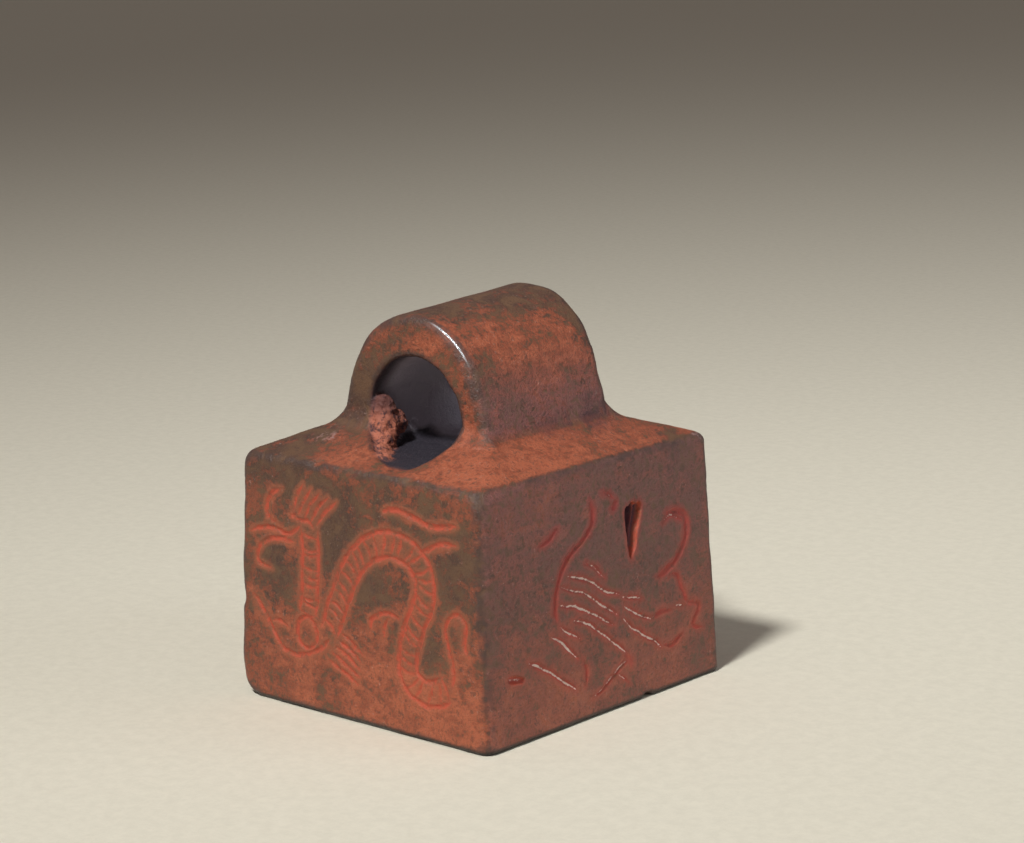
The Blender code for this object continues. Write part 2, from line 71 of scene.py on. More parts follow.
knobShape = {
    "front": 5.58,
    "back": 5.56,
    "shift": 0.10,          # the knob stands a little to the right of the middle
    "crownRadius": 5.34,
    "crownCentre": 3.10,
    "splay": math.radians(18.5),
    "ridgeRise": 0.68,
    "rimRound": (0.66, 0.70),
    "endFillet": 1.00,
    "sideFillet": 0.25,
    "sunk": 1.00,           # how far the knob reaches down into the block
}
holeShape = {
    "radius": 3.65,
    "shift": 0.30,
    "centre": 2.30,
    "floor": 0.30,
    "floorRound": 0.50,
    "mouthRound": 0.28,
    "ragged": 0.07,
    "raggedSize": 2.7,
    # the floor ends at the front along a slanted line from the left wall to the right corner
    "trenchLeft": -3.50,
    "trenchSlant": 0.79,
}
crustShape = {
    # inward from the left wall, back from the mouth, up from the floor, radius
    "lumps": (
        (0.35, 0.80, 2.30, 0.70),
        (0.50, 0.70, 1.55, 0.85),
        (0.70, 0.38, 0.80, 0.90),
        (1.15, -0.32, 0.15, 0.85),
        (2.15, -1.32, -0.05, 0.70),
        (3.25, -2.32, -0.10, 0.55),
        (0.35, 1.60, 1.20, 0.85),
    ),
    "blend": 0.35,
    "stuck": 0.25,          # fillet between the crust and the metal
    "crumble": 0.13,
}
nickShape = {
    # place and radius of the dents along the worn edges
    "dents": (
        ((-10.30, -10.80, 6.05), 0.78),
        ((10.20, -10.75, 15.15), 0.60),
        ((10.20, 7.30, 15.20), 0.36),
        ((-3.40, -10.25, 15.35), 0.50),
        ((4.10, -10.20, 15.30), 0.38),
        ((10.30, -2.20, 15.30), 0.42),
        ((-10.20, -10.50, 0.10), 0.75),
        ((10.20, 3.60, -0.10), 0.40),
        ((-10.20, 6.40, 9.20), 0.45),
    ),
    "soften": 0.22,
}


def roundOutside(a, b, radius):      # where two faces meet, rounded off
    overA = np.maximum(radius + a, 0.0)
    overB = np.maximum(radius + b, 0.0)
    return np.minimum(-radius, np.maximum(a, b)) + np.hypot(overA, overB)


def roundInside(a, b, radius):       # two shapes joined with a hollow fillet
    underA = np.maximum(radius - a, 0.0)
    underB = np.maximum(radius - b, 0.0)
    return np.maximum(radius, np.minimum(a, b)) - np.hypot(underA, underB)


def ease(value, low, high):
    share = np.clip((value - low) / (high - low), 0.0, 1.0)
    return share * share * (3.0 - 2.0 * share)


def uneven(p, size, phase):          # slow waves, about one to a length of size
    turn = 2.0 * math.pi / size
    first = np.sin(turn * (p[:, 0] + 0.37 * p[:, 1] + 0.21 * p[:, 2]) + phase)
    second = np.sin(turn * 1.31 * (0.58 * p[:, 0] - p[:, 1] + 0.47 * p[:, 2]) + 2.3 * phase)
    third = np.sin(turn * 1.73 * (0.29 * p[:, 0] + 0.44 * p[:, 1] - p[:, 2]) + 4.1 * phase)
    return (first + second + third) / 3.0


def wavyRound(p, edge):              # the rounding of an edge is nowhere quite the same
    share, size, phase = waviness[edge]
    return 1.0 + share * uneven(p, size, phase)


def atCorners(p, column):            # the four corners' values, blended over the block
    s = blockShape
    toRight = ease(p[:, 0], -3.0, 3.0)
    toBack = ease(p[:, 1], -3.0, 3.0)
    front = (1.0 - toRight) * s["frontLeft"][column] + toRight * s["frontRight"][column]
    back = (1.0 - toRight) * s["backLeft"][column] + toRight * s["backRight"][column]
    return (1.0 - toBack) * front + toBack * back


def blockDistance(p):
    s = blockShape
    x = np.abs(p[:, 0])
    y = np.abs(p[:, 1])
    z = p[:, 2]
    halfX = s["width"] / 2 - s["sideLean"] * z / s["height"]
    halfY = s["depth"] / 2 - s["endLean"] * z / s["height"]
    atCorner = (np.clip(x / halfX, 0, 1) * np.clip(y / halfY, 0, 1)) ** s["wearPower"]
    wear = atCorners(p, 1)
    wornTop = s["wearRound"] * wear * ease(z, s["height"] - 1.2, s["height"])
    upright = atCorners(p, 0) * wavyRound(p, "upright") + wornTop
    nearLeftFoot = ease(-p[:, 0], 8.0, 9.5) * ease(-p[:, 1], 8.0, 9.5) * ease(-z, -2.4, 0.0)
    upright = upright + s["leftFootWear"][0] * nearLeftFoot
    sides = roundOutside(x - halfX, y - halfY, upright)
    topX = s["width"] / 2 - s["sideLean"]
    topY = s["depth"] / 2 - s["endLean"]
    foot = knobFoot()
    riseX = (topX - x) * s["footRise"] / (topX - foot)
    riseY = (topY - y) * s["footRise"] / (topY - knobShape["front"])
    blend = np.clip(s["hipRound"] - np.abs(riseX - riseY), 0, 1)
    rise = np.minimum(riseX, riseY) - blend * blend / (4.0 * s["hipRound"])
    rise = np.minimum(rise, s["footRise"] * 1.25)      # the slopes go on a little under the knob
    roof = z - s["height"] - rise + wear * atCorner
    topRound = s["topRound"] * wavyRound(p, "top") + s["wearRound"] * wear * atCorner
    solid = roundOutside(sides, 0.94 * roof, topRound)
    footRound = s["footRound"] * wavyRound(p, "foot") + s["leftFootWear"][1] * nearLeftFoot
    return roundOutside(solid, -z, footRound)


def knobFoot():                      # half the knob's width at its foot
    k = knobShape
    tangentX = k["crownRadius"] * math.cos(k["splay"])
    tangentZ = k["crownCentre"] + k["crownRadius"] * math.sin(k["splay"])
    return tangentX + (tangentZ - blockShape["footRise"]) * math.tan(k["splay"])


def knobDistance(p):
    k = knobShape
    x = np.abs(p[:, 0] - k["shift"])
    y = p[:, 1]
    crown = k["crownCentre"] + k["crownRadius"]
    lift = k["ridgeRise"] * (y + k["front"]) / (k["front"] + k["back"])
    z = (p[:, 2] - blockShape["height"]) / (1.0 + lift / crown) - k["crownCentre"]
    crownArc = np.hypot(x, z) - k["crownRadius"]
    side = x * math.cos(k["splay"]) + z * math.sin(k["splay"]) - k["crownRadius"]
    arch = np.where(z > x * math.tan(k["splay"]), crownArc, side)
    ends = np.maximum(-k["front"] - y, y - k["back"])
    ends = np.maximum(ends, blockShape["height"] - k["sunk"] - p[:, 2])
    rim = np.where(y < 0, k["rimRound"][0], k["rimRound"][1]) * wavyRound(p, "rim")
    return roundOutside(arch, ends, rim)


def holeDistance(p):
    h = holeShape
    x = p[:, 0] - h["shift"]
    z = p[:, 2] - blockShape["height"]
    ragged = h["ragged"] * uneven(p, h["raggedSize"], 5.0)
    pipe = np.hypot(x, z - h["centre"]) - h["radius"] - ragged
    bore = roundOutside(pipe, h["floor"] - z, h["floorRound"])
    behindLip = p[:, 1] + knobShape["front"] + h["trenchSlant"] * (p[:, 0] - h["trenchLeft"])
    lip = -behindLip / math.hypot(1.0, h["trenchSlant"]) + ragged
    return roundOutside(bore, lip, h["floorRound"])


def crustDistance(p):
    c = crustShape
    wall = holeShape["shift"] - holeShape["radius"]
    floor = blockShape["height"] + holeShape["floor"]
    nearest = np.full(len(p), 9.0)      # far from every lump
    for inward, back, up, radius in c["lumps"]:
        centre = np.array((wall + inward, back - knobShape["front"], floor + up))
        lump = np.linalg.norm(p - centre, axis=1) - radius
        nearest = roundInside(nearest, lump, c["blend"])
    return nearest


def formDistance(p):                 # below zero in the metal, above zero in the air
    end = ease(np.abs(p[:, 1]), 4.9, 5.6)
    fillet = knobShape["sideFillet"] + (knobShape["endFillet"] - knobShape["sideFillet"]) * end
    solid = roundInside(blockDistance(p), knobDistance(p), fillet)
    solid = roundOutside(solid, -holeDistance(p), holeShape["mouthRound"])
    for centre, radius in nickShape["dents"]:
        dent = radius - np.linalg.norm(p - np.array(centre), axis=1)
        solid = roundOutside(solid, dent, nickShape["soften"])
    return roundInside(solid, crustDistance(p), crustShape["stuck"])


def drawOntoForm(points, rounds):    # moves points on to the surface, each along its own slope
    step = 0.01
    farthest = 0.6
    for _ in range(rounds):
        here = formDistance(points)
        slope = np.empty_like(points)
        for axis in range(3):
            moved = points.copy()
            moved[:, axis] += step
            slope[:, axis] = (formDistance(moved) - here) / step
        steep = np.maximum((slope ** 2).sum(axis=1), 0.3)
        move = slope * (here / steep)[:, None]
        points = points - np.clip(move, -farthest, farthest)
    return points


# The four animals and the marks under the seal are lines on flat grids, one for each face.
endY = blockShape["depth"] / 2
sideX = blockShape["width"] / 2
endTilt = blockShape["endLean"] / blockShape["height"]
sideTilt = blockShape["sideLean"] / blockShape["height"]
faceGrids = {
    # origin, across, upward, outward
    "front": ((0.22, -endY, 0), (1, 0, 0), (0.009, endTilt, 1), (0, -1, 0)),
    "back": ((0, endY, 0), (-1, 0, 0), (0, -endTilt, 1), (0, 1, 0)),
    "right": ((sideX, -0.28, 0), (0, 1, 0), (-sideTilt, 0.025, 1), (1, 0, 0)),
    "left": ((-sideX, 0, 0), (0, -1, 0), (sideTilt, 0, 1), (-1, 0, 0)),
    "under": ((0, 0, 0), (1, 0, 0), (0, -1.05, 0), (0, 0, -1)),
}
lineCut = {
    "width": 0.33,
    "depth": 0.10,
    "gap": 0.08,            # between the samples along a line
    "taper": 0.70,          # length over which a line runs out at its ends
    "hand": 0.30,           # how much its width comes and goes
    "wander": 0.07,         # and how far it strays to either side
    "profile": 1.5,         # 1 is a sharp V, 2 a round gouge
    "burr": 0.012,
    "burrAt": 1.3,          # in half widths from the middle of the line
    "burrWidth": 0.09,
    "filled": 0.045,        # the depth from which a line holds its full pigment
    "bleed": 0.30,
    "grooveGlintWithin": 1.9,
    "pitFrom": 0.24,        # the depth from which a cut is painted dark as shade, and over what depth
    "pitOver": 0.22,
}
tickCut = {"width": 0.85, "depth": 0.75, "ends": (0.6, 0.6)}
samples = []                # place, half width, depth, pigment, painted groove glint, outward


def smoothRun(points, gap):
    knots = [Vector(point) for point in points]
    run = []
    for index in range(len(knots) - 1):
        start = knots[index]
        end = knots[index + 1]
        before = knots[max(index - 1, 0)]
        after = knots[min(index + 2, len(knots) - 1)]
        count = max(1, round((end - start).length / gap))
        for part in range(count):
            t = part / count
            first = (end - before) * t
            second = (2 * before - 5 * start + 4 * end - after) * t ** 2
            third = (3 * start - before - 3 * end + after) * t ** 3
            run.append(start + 0.5 * (first + second + third))
    run.append(knots[-1])
    return run


def sideways(run, index):
    before = run[max(index - 1, 0)]
    after = run[min(index + 1, len(run) - 1)]
    ahead = (after - before).normalized()
    return Vector((-ahead.y, ahead.x))


def along(value, share):             # a plain number, or a pair from start to end
    if isinstance(value, tuple):
        return value[0] + (value[1] - value[0]) * share
    return value


def cutLine(side, points, width=1.0, depth=1.0, ends=(0.25, 0.25), pigment=1.0, grooveGlint=0.0):
    origin, across, upward, outward = [Vector(part) for part in faceGrids[side]]
    run = smoothRun(points, lineCut["gap"])
    count = len(run)
    for index, spot in enumerate(run):
        share = index / max(count - 1, 1)
        fromEnd = min(index, count - 1 - index) * lineCut["gap"]
        taper = min(1.0, fromEnd / lineCut["taper"])
        end = ends[0] if share < 0.5 else ends[1]
        full = end + (1.0 - end) * taper
        hand = 1.0 + lineCut["hand"] * noise.noise(Vector((spot.x * 1.1, spot.y * 1.1, 7.0)))
        wander = lineCut["wander"] * noise.noise(Vector((spot.x * 1.4 + 31.0, spot.y * 1.4, 2.0)))
        shifted = spot + wander * sideways(run, index)
        place = origin + shifted.x * across + shifted.y * upward
        halfWidth = lineCut["width"] / 2 * along(width, share) * full * hand
        deep = lineCut["depth"] * along(depth, share) * full
        samples.append((place, halfWidth, deep, pigment, grooveGlint, outward))


def cutBand(side, centre, halfWidth, tickGap, slant):      # two rails with ticks between them
    run = smoothRun(centre, 0.25)
    reach = 0.82 * halfWidth
    for edge in (-1, 1):
        rail = [spot + edge * halfWidth * sideways(run, index) for index, spot in enumerate(run)]
        cutLine(side, rail[::2] + rail[-1:])
    travelled = 0.0
    due = tickGap * 0.6
    ticks = 0
    for index in range(1, len(run)):
        travelled += (run[index] - run[index - 1]).length
        if travelled < due:
            continue
        ticks += 1
        due += tickGap * (1.0 + 0.18 * math.sin(2.4 * ticks))
        ahead = (run[index] - run[index - 1]).normalized()
        normal = sideways(run, index)
        lean = (slant + 0.08 * math.sin(1.7 * ticks)) * ahead
        start = run[index] - reach * normal - lean
        end = run[index] + reach * normal + lean
        middle = run[index] + 0.10 * ahead
        cutLine(side, [start, middle, end], **tickCut)


def cutFan(side, first, last, count, **line):
    for index in range(count):
        share = index / (count - 1)
        points = [Vector(a).lerp(Vector(b), share) for a, b in zip(first, last)]
        cutLine(side, points, **line)


def cutOval(side, centre, halfAcross, halfUp, **line):
    points = []
    steps = 12
    for step in range(steps + 1):
        angle = 2 * math.pi * (step + 0.25) / steps
        points.append((centre[0] + halfAcross * math.cos(angle), centre[1] + halfUp * math.sin(angle)))
    cutLine(side, points, ends=(1.0, 1.0), **line)


dragon = {
    "snout": ((-9.2, 10.2), (-8.5, 10.5), (-7.4, 10.7), (-6.2, 10.5), (-5.4, 10.75), (-4.9, 11.2)),
    "mouth": ((-5.5, 10.05), (-6.4, 10.15), (-7.4, 10.0), (-8.1, 9.7), (-8.6, 9.1), (-8.5, 8.4),
              (-7.4, 8.15)),
    "whisker": ((-6.5, 13.2), (-7.2, 12.9), (-7.7, 12.3), (-7.8, 11.6), (-7.4, 11.15), (-7.0, 11.1)),
    "brow": ((-5.6, 11.7), (-5.0, 11.45), (-4.3, 11.5), (-3.8, 11.1)),
    "crestFrom": ((-5.6, 11.8), (-5.3, 12.7), (-4.7, 13.7)),
    "crestTo": ((-3.6, 11.3), (-2.9, 12.2), (-1.9, 13.0)),
    "neck": ((-4.15, 11.0), (-4.15, 9.2), (-4.2, 7.4), (-4.35, 5.9)),
    "breast": ((-9.1, 6.4), (-8.4, 5.8), (-7.6, 4.8), (-7.0, 4.0), (-6.4, 3.4), (-5.5, 3.25), (-4.4, 3.45),
               (-3.4, 3.9), (-2.5, 4.7)),
    "elbow": ((-7.4, 5.0), (-6.8, 5.1), (-6.0, 4.8)),
    "body": ((-2.6, 5.0), (-2.0, 6.5), (-1.4, 7.9), (-0.7, 9.2), (0.2, 10.2), (1.4, 10.9), (2.8, 11.1),
             (4.1, 10.7), (5.0, 9.7), (5.1, 8.4), (4.6, 7.2), (4.1, 6.0), (3.8, 4.8), (3.9, 3.7), (4.7, 3.0),
             (5.8, 2.9), (6.9, 3.4)),
    "tail": ((7.3, 3.5), (7.4, 4.6), (7.0, 5.6), (6.8, 6.8), (7.1, 7.6), (7.8, 7.8), (8.3, 7.2), (8.15, 6.2),
             (8.6, 5.5)),
    "shoulderRing": ((-4.45, 4.75), 0.85, 0.95),
    "clawFrom": ((-1.6, 5.2), (-0.8, 4.85), (0.25, 4.15)),
    "clawTo": ((-2.7, 3.5), (-1.5, 2.95), (-0.1, 2.3)),
    "middleClaw": ((3.2, 6.85), (2.3, 7.05), (1.4, 6.85), (0.85, 6.35), (0.8, 5.65)),
    "middleToe": ((2.3, 6.8), (1.95, 6.2), (1.95, 5.5)),
    "upperClaw": ((1.9, 13.0), (3.0, 13.2), (4.2, 12.95), (5.4, 12.65), (6.6, 12.75), (7.6, 12.95)),
    "upperToe": ((4.5, 11.05), (5.3, 11.2), (6.2, 11.7), (7.6, 11.75)),
    "dots": ((-5.5, 11.65), (3.5, 6.3), (-0.5, 4.5)),
    "stains": (
        (((-9.0, 6.4), (-8.3, 5.6), (-7.7, 4.9)), 3.4),
        (((-7.6, 10.35), (-5.7, 10.25)), 2.0),
        (((1.6, 10.7), (2.9, 10.9), (4.0, 10.3)), 3.6),
        (((2.8, 13.1), (4.4, 12.95)), 2.2),
        (((7.6, 7.4), (8.2, 6.8)), 2.0),
        (((-2.4, 4.6), (-0.6, 3.3)), 3.0),
        (((3.9, 4.2), (4.6, 2.9), (6.2, 2.6)), 3.2),
    ),
}


def cutDots(side, places, **line):
    for across, up in places:
        cutLine(side, ((across - 0.10, up), (across + 0.10, up + 0.05)), ends=(0.9, 0.9), **line)


def cutDragon():
    d = dragon
    cutDots("front", d["dots"], width=1.1)
    for stain, width in d["stains"]:
        cutLine("front", stain, width=width, depth=0.0, ends=(0.6, 0.6), pigment=0.75)
    for name in ("snout", "mouth", "whisker", "brow", "breast", "elbow", "tail", "middleClaw", "middleToe"):
        cutLine("front", d[name])
    cutFan("front", d["crestFrom"], d["crestTo"], 5, width=0.8, depth=0.8)
    cutBand("front", d["neck"], 0.68, 0.58, 0.05)
    cutOval("front", *d["shoulderRing"])
    cutBand("front", d["body"], 0.72, 0.66, 0.14)
    cutFan("front", d["clawFrom"], d["clawTo"], 5, width=0.85)
    cutLine("front", d["upperClaw"], width=1.2, ends=(0.7, 0.2))
    cutLine("front", d["upperToe"])


tiger = {
    "neck": ((-1.0, 12.9), (-0.75, 12.2), (-0.9, 11.4), (-1.6, 10.8), (-2.6, 10.2), (-3.4, 9.6), (-4.0, 8.6),
             (-4.3, 7.4), (-4.2, 6.4)),
    "ear": ((0.1, 13.1), (0.7, 12.95), (1.3, 12.5)),
    "cheek": ((-5.5, 11.0), (-4.7, 11.3), (-3.9, 11.8)),
    "gashLeft": ((2.45, 11.6), (2.45, 10.4), (2.6, 8.8)),
    "gashMiddle": ((2.9, 11.7), (2.75, 10.4), (2.62, 8.8)),
    "gashRight": ((3.45, 11.7), (3.1, 10.4), (2.65, 8.8)),
    "shoulder": ((-1.6, 9.3), (-0.7, 8.85), (0.2, 8.0)),
    "stripes": (
        ((-3.1, 8.85), (-1.8, 8.45), (-0.9, 8.05), (0.2, 7.3), (1.4, 6.8)),
        ((-3.8, 8.4), (-2.8, 7.95), (-1.6, 7.55), (-0.6, 6.85), (0.2, 6.3), (1.3, 5.6)),
        ((-3.9, 7.3), (-2.7, 7.0), (-1.4, 6.4), (-0.3, 5.8), (0.9, 5.1)),
        ((-2.8, 6.2), (-1.6, 5.75), (-0.6, 5.15), (0.6, 4.25), (1.9, 3.25)),
        ((-3.9, 6.1), (-3.2, 5.55), (-2.2, 5.0)),
        ((-4.7, 5.6), (-3.8, 5.1), (-3.0, 4.4), (-2.4, 3.8)),
        ((1.7, 6.6), (2.6, 6.4), (3.6, 6.1)),
        ((1.9, 6.0), (2.8, 5.4), (4.3, 4.7)),
        ((1.8, 5.3), (2.6, 4.55), (3.7, 3.85), (4.6, 3.3), (5.3, 2.8)),
    ),
    "foreleg": ((-6.8, 4.6), (-5.8, 4.15), (-4.6, 3.45), (-3.6, 2.7), (-2.7, 2.1)),
    "paw": ((-8.3, 4.0), (-7.4, 3.75)),
    "shank": ((-2.1, 3.75), (-1.65, 3.0), (-1.85, 2.1)),
    "belly": ((-1.2, 1.2), (-0.2, 1.6), (0.7, 2.1), (1.6, 2.6), (2.4, 2.8)),
    "heel": ((1.1, 2.1), (2.15, 1.35)),
    "haunch": ((4.4, 4.7), (5.3, 4.95), (6.3, 4.8)),
    "thigh": ((5.4, 2.9), (6.3, 2.7), (7.4, 3.2)),
    "rump": ((6.1, 7.05), (6.9, 6.8), (7.4, 5.9), (7.9, 5.0), (9.0, 4.6), (8.5, 3.8), (8.4, 3.4),
             (9.3, 3.1)),
    "tail": ((6.1, 10.75), (7.1, 10.75), (7.9, 10.2), (7.95, 9.3), (7.4, 8.3), (6.5, 7.6), (5.0, 7.1)),
    "tailEdge": ((5.7, 10.2), (6.6, 10.6), (7.6, 10.0)),
    "dots": ((1.2, 12.05), (1.25, 12.3)),
    "blot": ((1.95, 3.05), (2.35, 2.5)),
    "glint": ((6.7, 5.05), (7.8, 4.75)),
}


def cutTiger():
    t = tiger
    cutDots("right", t["dots"], width=1.3)
    cutLine("right", t["blot"], width=2.2, depth=0.6, ends=(0.7, 0.7))
    # a painted highlight stroke
    cutLine("right", t["glint"], width=0.9, grooveGlint=1.3)
    for name in ("cheek", "shank", "haunch", "thigh"):
        cutLine("right", t[name], grooveGlint=0.35)
    for name in ("shoulder", "heel", "ear", "belly", "tailEdge"):
        cutLine("right", t[name], width=0.9, grooveGlint=0.8)
    for line in t["stripes"]:
        cutLine("right", line, width=1.05, depth=1.15, ends=(0.45, 0.3), grooveGlint=1.0)
    cutLine("right", t["neck"], width=1.15, depth=1.1, grooveGlint=0.15)
    cutLine("right", t["foreleg"], width=1.2, depth=1.2, grooveGlint=0.9)
    cutLine("right", t["rump"], width=1.1, grooveGlint=0.3)
    cutLine("right", t["tail"], width=1.5, depth=1.1, ends=(0.5, 0.3), grooveGlint=0.2)
    cutLine("right", t["paw"], width=1.9, depth=2.8, ends=(0.7, 0.7), grooveGlint=0.5)
    cutLine("right", t["gashLeft"], width=(2.0, 1.2), depth=(6.5, 3.4), ends=(0.9, 0.5))
    cutLine("right", t["gashMiddle"], width=(2.6, 1.2), depth=(9.0, 4.2), ends=(0.9, 0.5))
    cutLine("right", t["gashRight"], width=(2.0, 1.2), depth=(5.4, 3.4), ends=(0.9, 0.5))


hiddenPigment = 0.7
bird = {
    "back": ((-7.2, 10.6), (-6.0, 11.4), (-4.8, 10.8), (-4.6, 9.2), (-3.6, 7.4), (-1.0, 6.2), (2.0, 6.4)),
    "breast": ((-7.2, 10.6), (-6.0, 10.0), (-5.9, 8.4), (-5.0, 6.2), (-3.0, 4.6), (0.4, 4.4), (2.6, 5.4)),
    "wingFrom": ((-2.2, 6.6), (-0.4, 9.0), (2.6, 11.6)),
    "wingTo": ((0.2, 6.3), (2.2, 7.6), (4.6, 9.4)),
    "tailFrom": ((2.2, 6.3), (5.2, 8.2), (8.2, 7.6)),
    "tailTo": ((2.6, 5.5), (5.0, 4.4), (7.4, 2.6)),
    "feet": (-2.0, 0.0),
}


def cutBird():
    b = bird
    cutLine("left", b["back"], pigment=hiddenPigment)
    cutLine("left", b["breast"], pigment=hiddenPigment)
    cutFan("left", b["wingFrom"], b["wingTo"], 4, pigment=hiddenPigment)
    cutFan("left", b["tailFrom"], b["tailTo"], 4, pigment=hiddenPigment)
    for foot in b["feet"]:
        cutLine("left", ((foot, 4.5), (foot - 0.4, 3.0), (foot - 1.2, 2.0)), pigment=hiddenPigment)


tortoise = {
    "shell": ((0.0, 7.2), 4.6, 3.3),
    "rowFrom": ((-3.8, 7.6), (-0.3, 8.3), (3.7, 7.7)),
    "rowTo": ((-3.8, 6.4), (0.2, 5.9), (3.8, 6.3)),
    "columnFrom": ((-1.5, 9.4), (-2.0, 7.2), (-1.6, 5.1)),
    "columnTo": ((1.7, 9.5), (2.1, 7.0), (1.5, 5.2)),
    "head": ((-4.8, 7.8), (-6.0, 8.8), (-7.4, 8.9), (-7.6, 8.0), (-6.2, 7.4), (-4.9, 6.9)),
    "tail": ((4.9, 7.0), (6.3, 6.2), (7.4, 7.2), (6.9, 8.4)),
}


def cutTortoise():
    t = tortoise
    cutOval("back", *t["shell"], pigment=hiddenPigment)
    cutFan("back", t["rowFrom"], t["rowTo"], 2, depth=0.7)
    cutFan("back", t["columnFrom"], t["columnTo"], 3, depth=0.8)
    cutLine("back", t["head"], pigment=hiddenPigment)
    cutLine("back", t["tail"], pigment=hiddenPigment)
    for side in (-1, 1):
        leg = ((side * 2.8, 4.3), (side * 3.5, 3.0), (side * 4.6, 2.3))
        cutLine("back", leg, pigment=hiddenPigment)


stampMarks = {
    "border": 8.3,
    "reach": 7.6,
    "columns": (-5.6, 5.6),
    "rows": 6,
    "firstRow": -6.5,
    "rowGap": 2.6,
    "halfLengths": (1.9, 1.2),
    "uprights": (-1.4, 0.0, 1.4),
    "uprightRows": (-6.2, 6.2),
    "uprightHalf": 1.5,
    "pigment": 0.9,
}


def cutStamp():
    s = stampMarks
    ink = s["pigment"]
    for side in (-s["border"], s["border"]):
        cutLine("under", ((side, -s["reach"]), (side, s["reach"])), pigment=ink)
        cutLine("under", ((-s["reach"], side), (s["reach"], side)), pigment=ink)
    for column in s["columns"]:
        for row in range(s["rows"]):
            height = s["firstRow"] + s["rowGap"] * row
            half = s["halfLengths"][row % 2]
            cutLine("under", ((column - half, height), (column + half, height)), pigment=ink)
    for row in s["uprightRows"]:
        for column in s["uprights"]:
            ends = ((column, row - s["uprightHalf"]), (column, row + s["uprightHalf"]))
            cutLine("under", ends, pigment=ink)


cutDragon()
cutTiger()
cutBird()
cutTortoise()
cutStamp()
lineTree = kdtree.KDTree(len(samples))
for number, sample in enumerate(samples):
    lineTree.insert(sample[0], number)
lineTree.balance()
print("lines drawn:", len(samples), "samples")

meshPlan = {
    "voxel": 0.35,          # smaller squares take the seal past 200,000 triangles
    "edgeAngle": math.radians(9.0),
    "wideMargin": 0.42,     # how far beside a line the squares are split once, and then again
    "nearMargin": 0.10,
    "reach": 1.10,          # how far off a line can still matter
    "crustMargin": 0.15,
    "smoothing": 0.5,
}


def readPoints(bm):
    return np.array([vertex.co[:] for vertex in bm.verts], float)


def writePoints(bm, points):
    for vertex, point in zip(bm.verts, points.tolist()):
        vertex.co = point


def evenShell():                     # the CAD solid as an even net of small squares
    bm = bmesh.new()
    bm.from_mesh(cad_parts["seal"].data)
    bmesh.ops.remove_doubles(bm, verts=bm.verts, dist=0.000001)
    bmesh.ops.scale(bm, vec=(1 / mm, 1 / mm, 1 / mm), verts=bm.verts)
    mesh = bpy.data.meshes.new("shell")
    bm.to_mesh(mesh)
    bm.free()
    shell = bpy.data.objects.new("shell", mesh)
    bpy.context.scene.collection.objects.link(shell)
    remesh = shell.modifiers.new("even", "REMESH")
    remesh.mode = "VOXEL"
    remesh.voxel_size = meshPlan["voxel"]
    graph = bpy.context.evaluated_depsgraph_get()
    made = bpy.data.meshes.new_from_object(shell.evaluated_get(graph))
    bpy.data.objects.remove(shell, do_unlink=True)
    return made


def lineNear(place, margin):
    for _, number, distance in lineTree.find_range(place, meshPlan["reach"]):
        if samples[number][2] > 0.01 and distance < samples[number][1] + margin:
            return True
    return False


def splitFaces(bm, wanted):
    edges = {edge for face in wanted for edge in face.edges}
    bmesh.ops.subdivide_edges(bm, edges=list(edges), cuts=1, use_grid_fill=True)
    writePoints(bm, drawOntoForm(readPoints(bm), 2))


def fineShell():
    mesh = evenShell()
    bm = bmesh.new()
    bm.from_mesh(mesh)
    writePoints(bm, drawOntoForm(readPoints(bm), 6))
    # smoothed and drawn back in turn, so that the squares come out even
    everyWay = {"use_axis_x": True, "use_axis_y": True, "use_axis_z": True}
    for _ in range(3):
        bmesh.ops.smooth_vert(bm, verts=bm.verts, factor=meshPlan["smoothing"], **everyWay)
        writePoints(bm, drawOntoForm(readPoints(bm), 2))
    print("shell:", len(bm.faces), "faces")
    bm.normal_update()
    sharp = [edge for edge in bm.edges if edge.calc_face_angle(0.0) > meshPlan["edgeAngle"]]
    bent = {face for edge in sharp for face in edge.link_faces}
    lined = {face for face in bm.faces if lineNear(face.calc_center_median(), meshPlan["wideMargin"])}
    splitFaces(bm, bent | lined)
    near = {face for face in bm.faces if lineNear(face.calc_center_median(), meshPlan["nearMargin"])}
    crumbs = {face for face in bm.faces if isCrust(face.calc_center_median())}
    splitFaces(bm, near | crumbs)
    many = [face for face in bm.faces if len(face.verts) > 4]
    bmesh.ops.triangulate(bm, faces=many, quad_method="BEAUTY", ngon_method="BEAUTY")
    print("fine shell:", len(bm.faces), "faces")
    return bm


def isCrust(place):
    point = np.array([place[:]])
    return crustDistance(point)[0] < meshPlan["crustMargin"]


def carve(bm):                       # lines cut in, burrs raised, and how much pigment each point holds
    cut = lineCut
    count = len(bm.verts)
    masks = {name: np.zeros(count) for name in ("pigment", "halo", "grooveGlint", "deep")}
    for index, vertex in enumerate(bm.verts):
        found = lineTree.find_range(vertex.co, meshPlan["reach"])
        if not found:
            continue
        deepest = 0.0
        halo = 0.0
        burr = 0.0
        for _, number, distance in found:
            _, halfWidth, depth, pigment, grooveGlint, outward = samples[number]
            t = distance / halfWidth
            if t < 1.0:
                deep = depth * (1.0 - t ** cut["profile"])
                if deep > deepest:
                    deepest = deep
                    masks["grooveGlint"][index] = grooveGlint * max(0.0, 1.0 - cut["grooveGlintWithin"] * t)
            fromBurr = distance - cut["burrAt"] * halfWidth
            burr = max(burr, math.exp(-(fromBurr / cut["burrWidth"]) ** 2))
            glow = pigment * math.exp(-(max(distance - halfWidth, 0.0) / cut["bleed"]) ** 2)
            halo = max(halo, glow)
        fill = min(1.0, deepest / cut["filled"])
        masks["pigment"][index] = fill
        masks["halo"][index] = halo
        masks["deep"][index] = min(1.0, max(0.0, deepest - cut["pitFrom"]) / cut["pitOver"])
        vertex.co -= outward * deepest
        vertex.co += outward * cut["burr"] * burr * (1.0 - fill)
    return masks


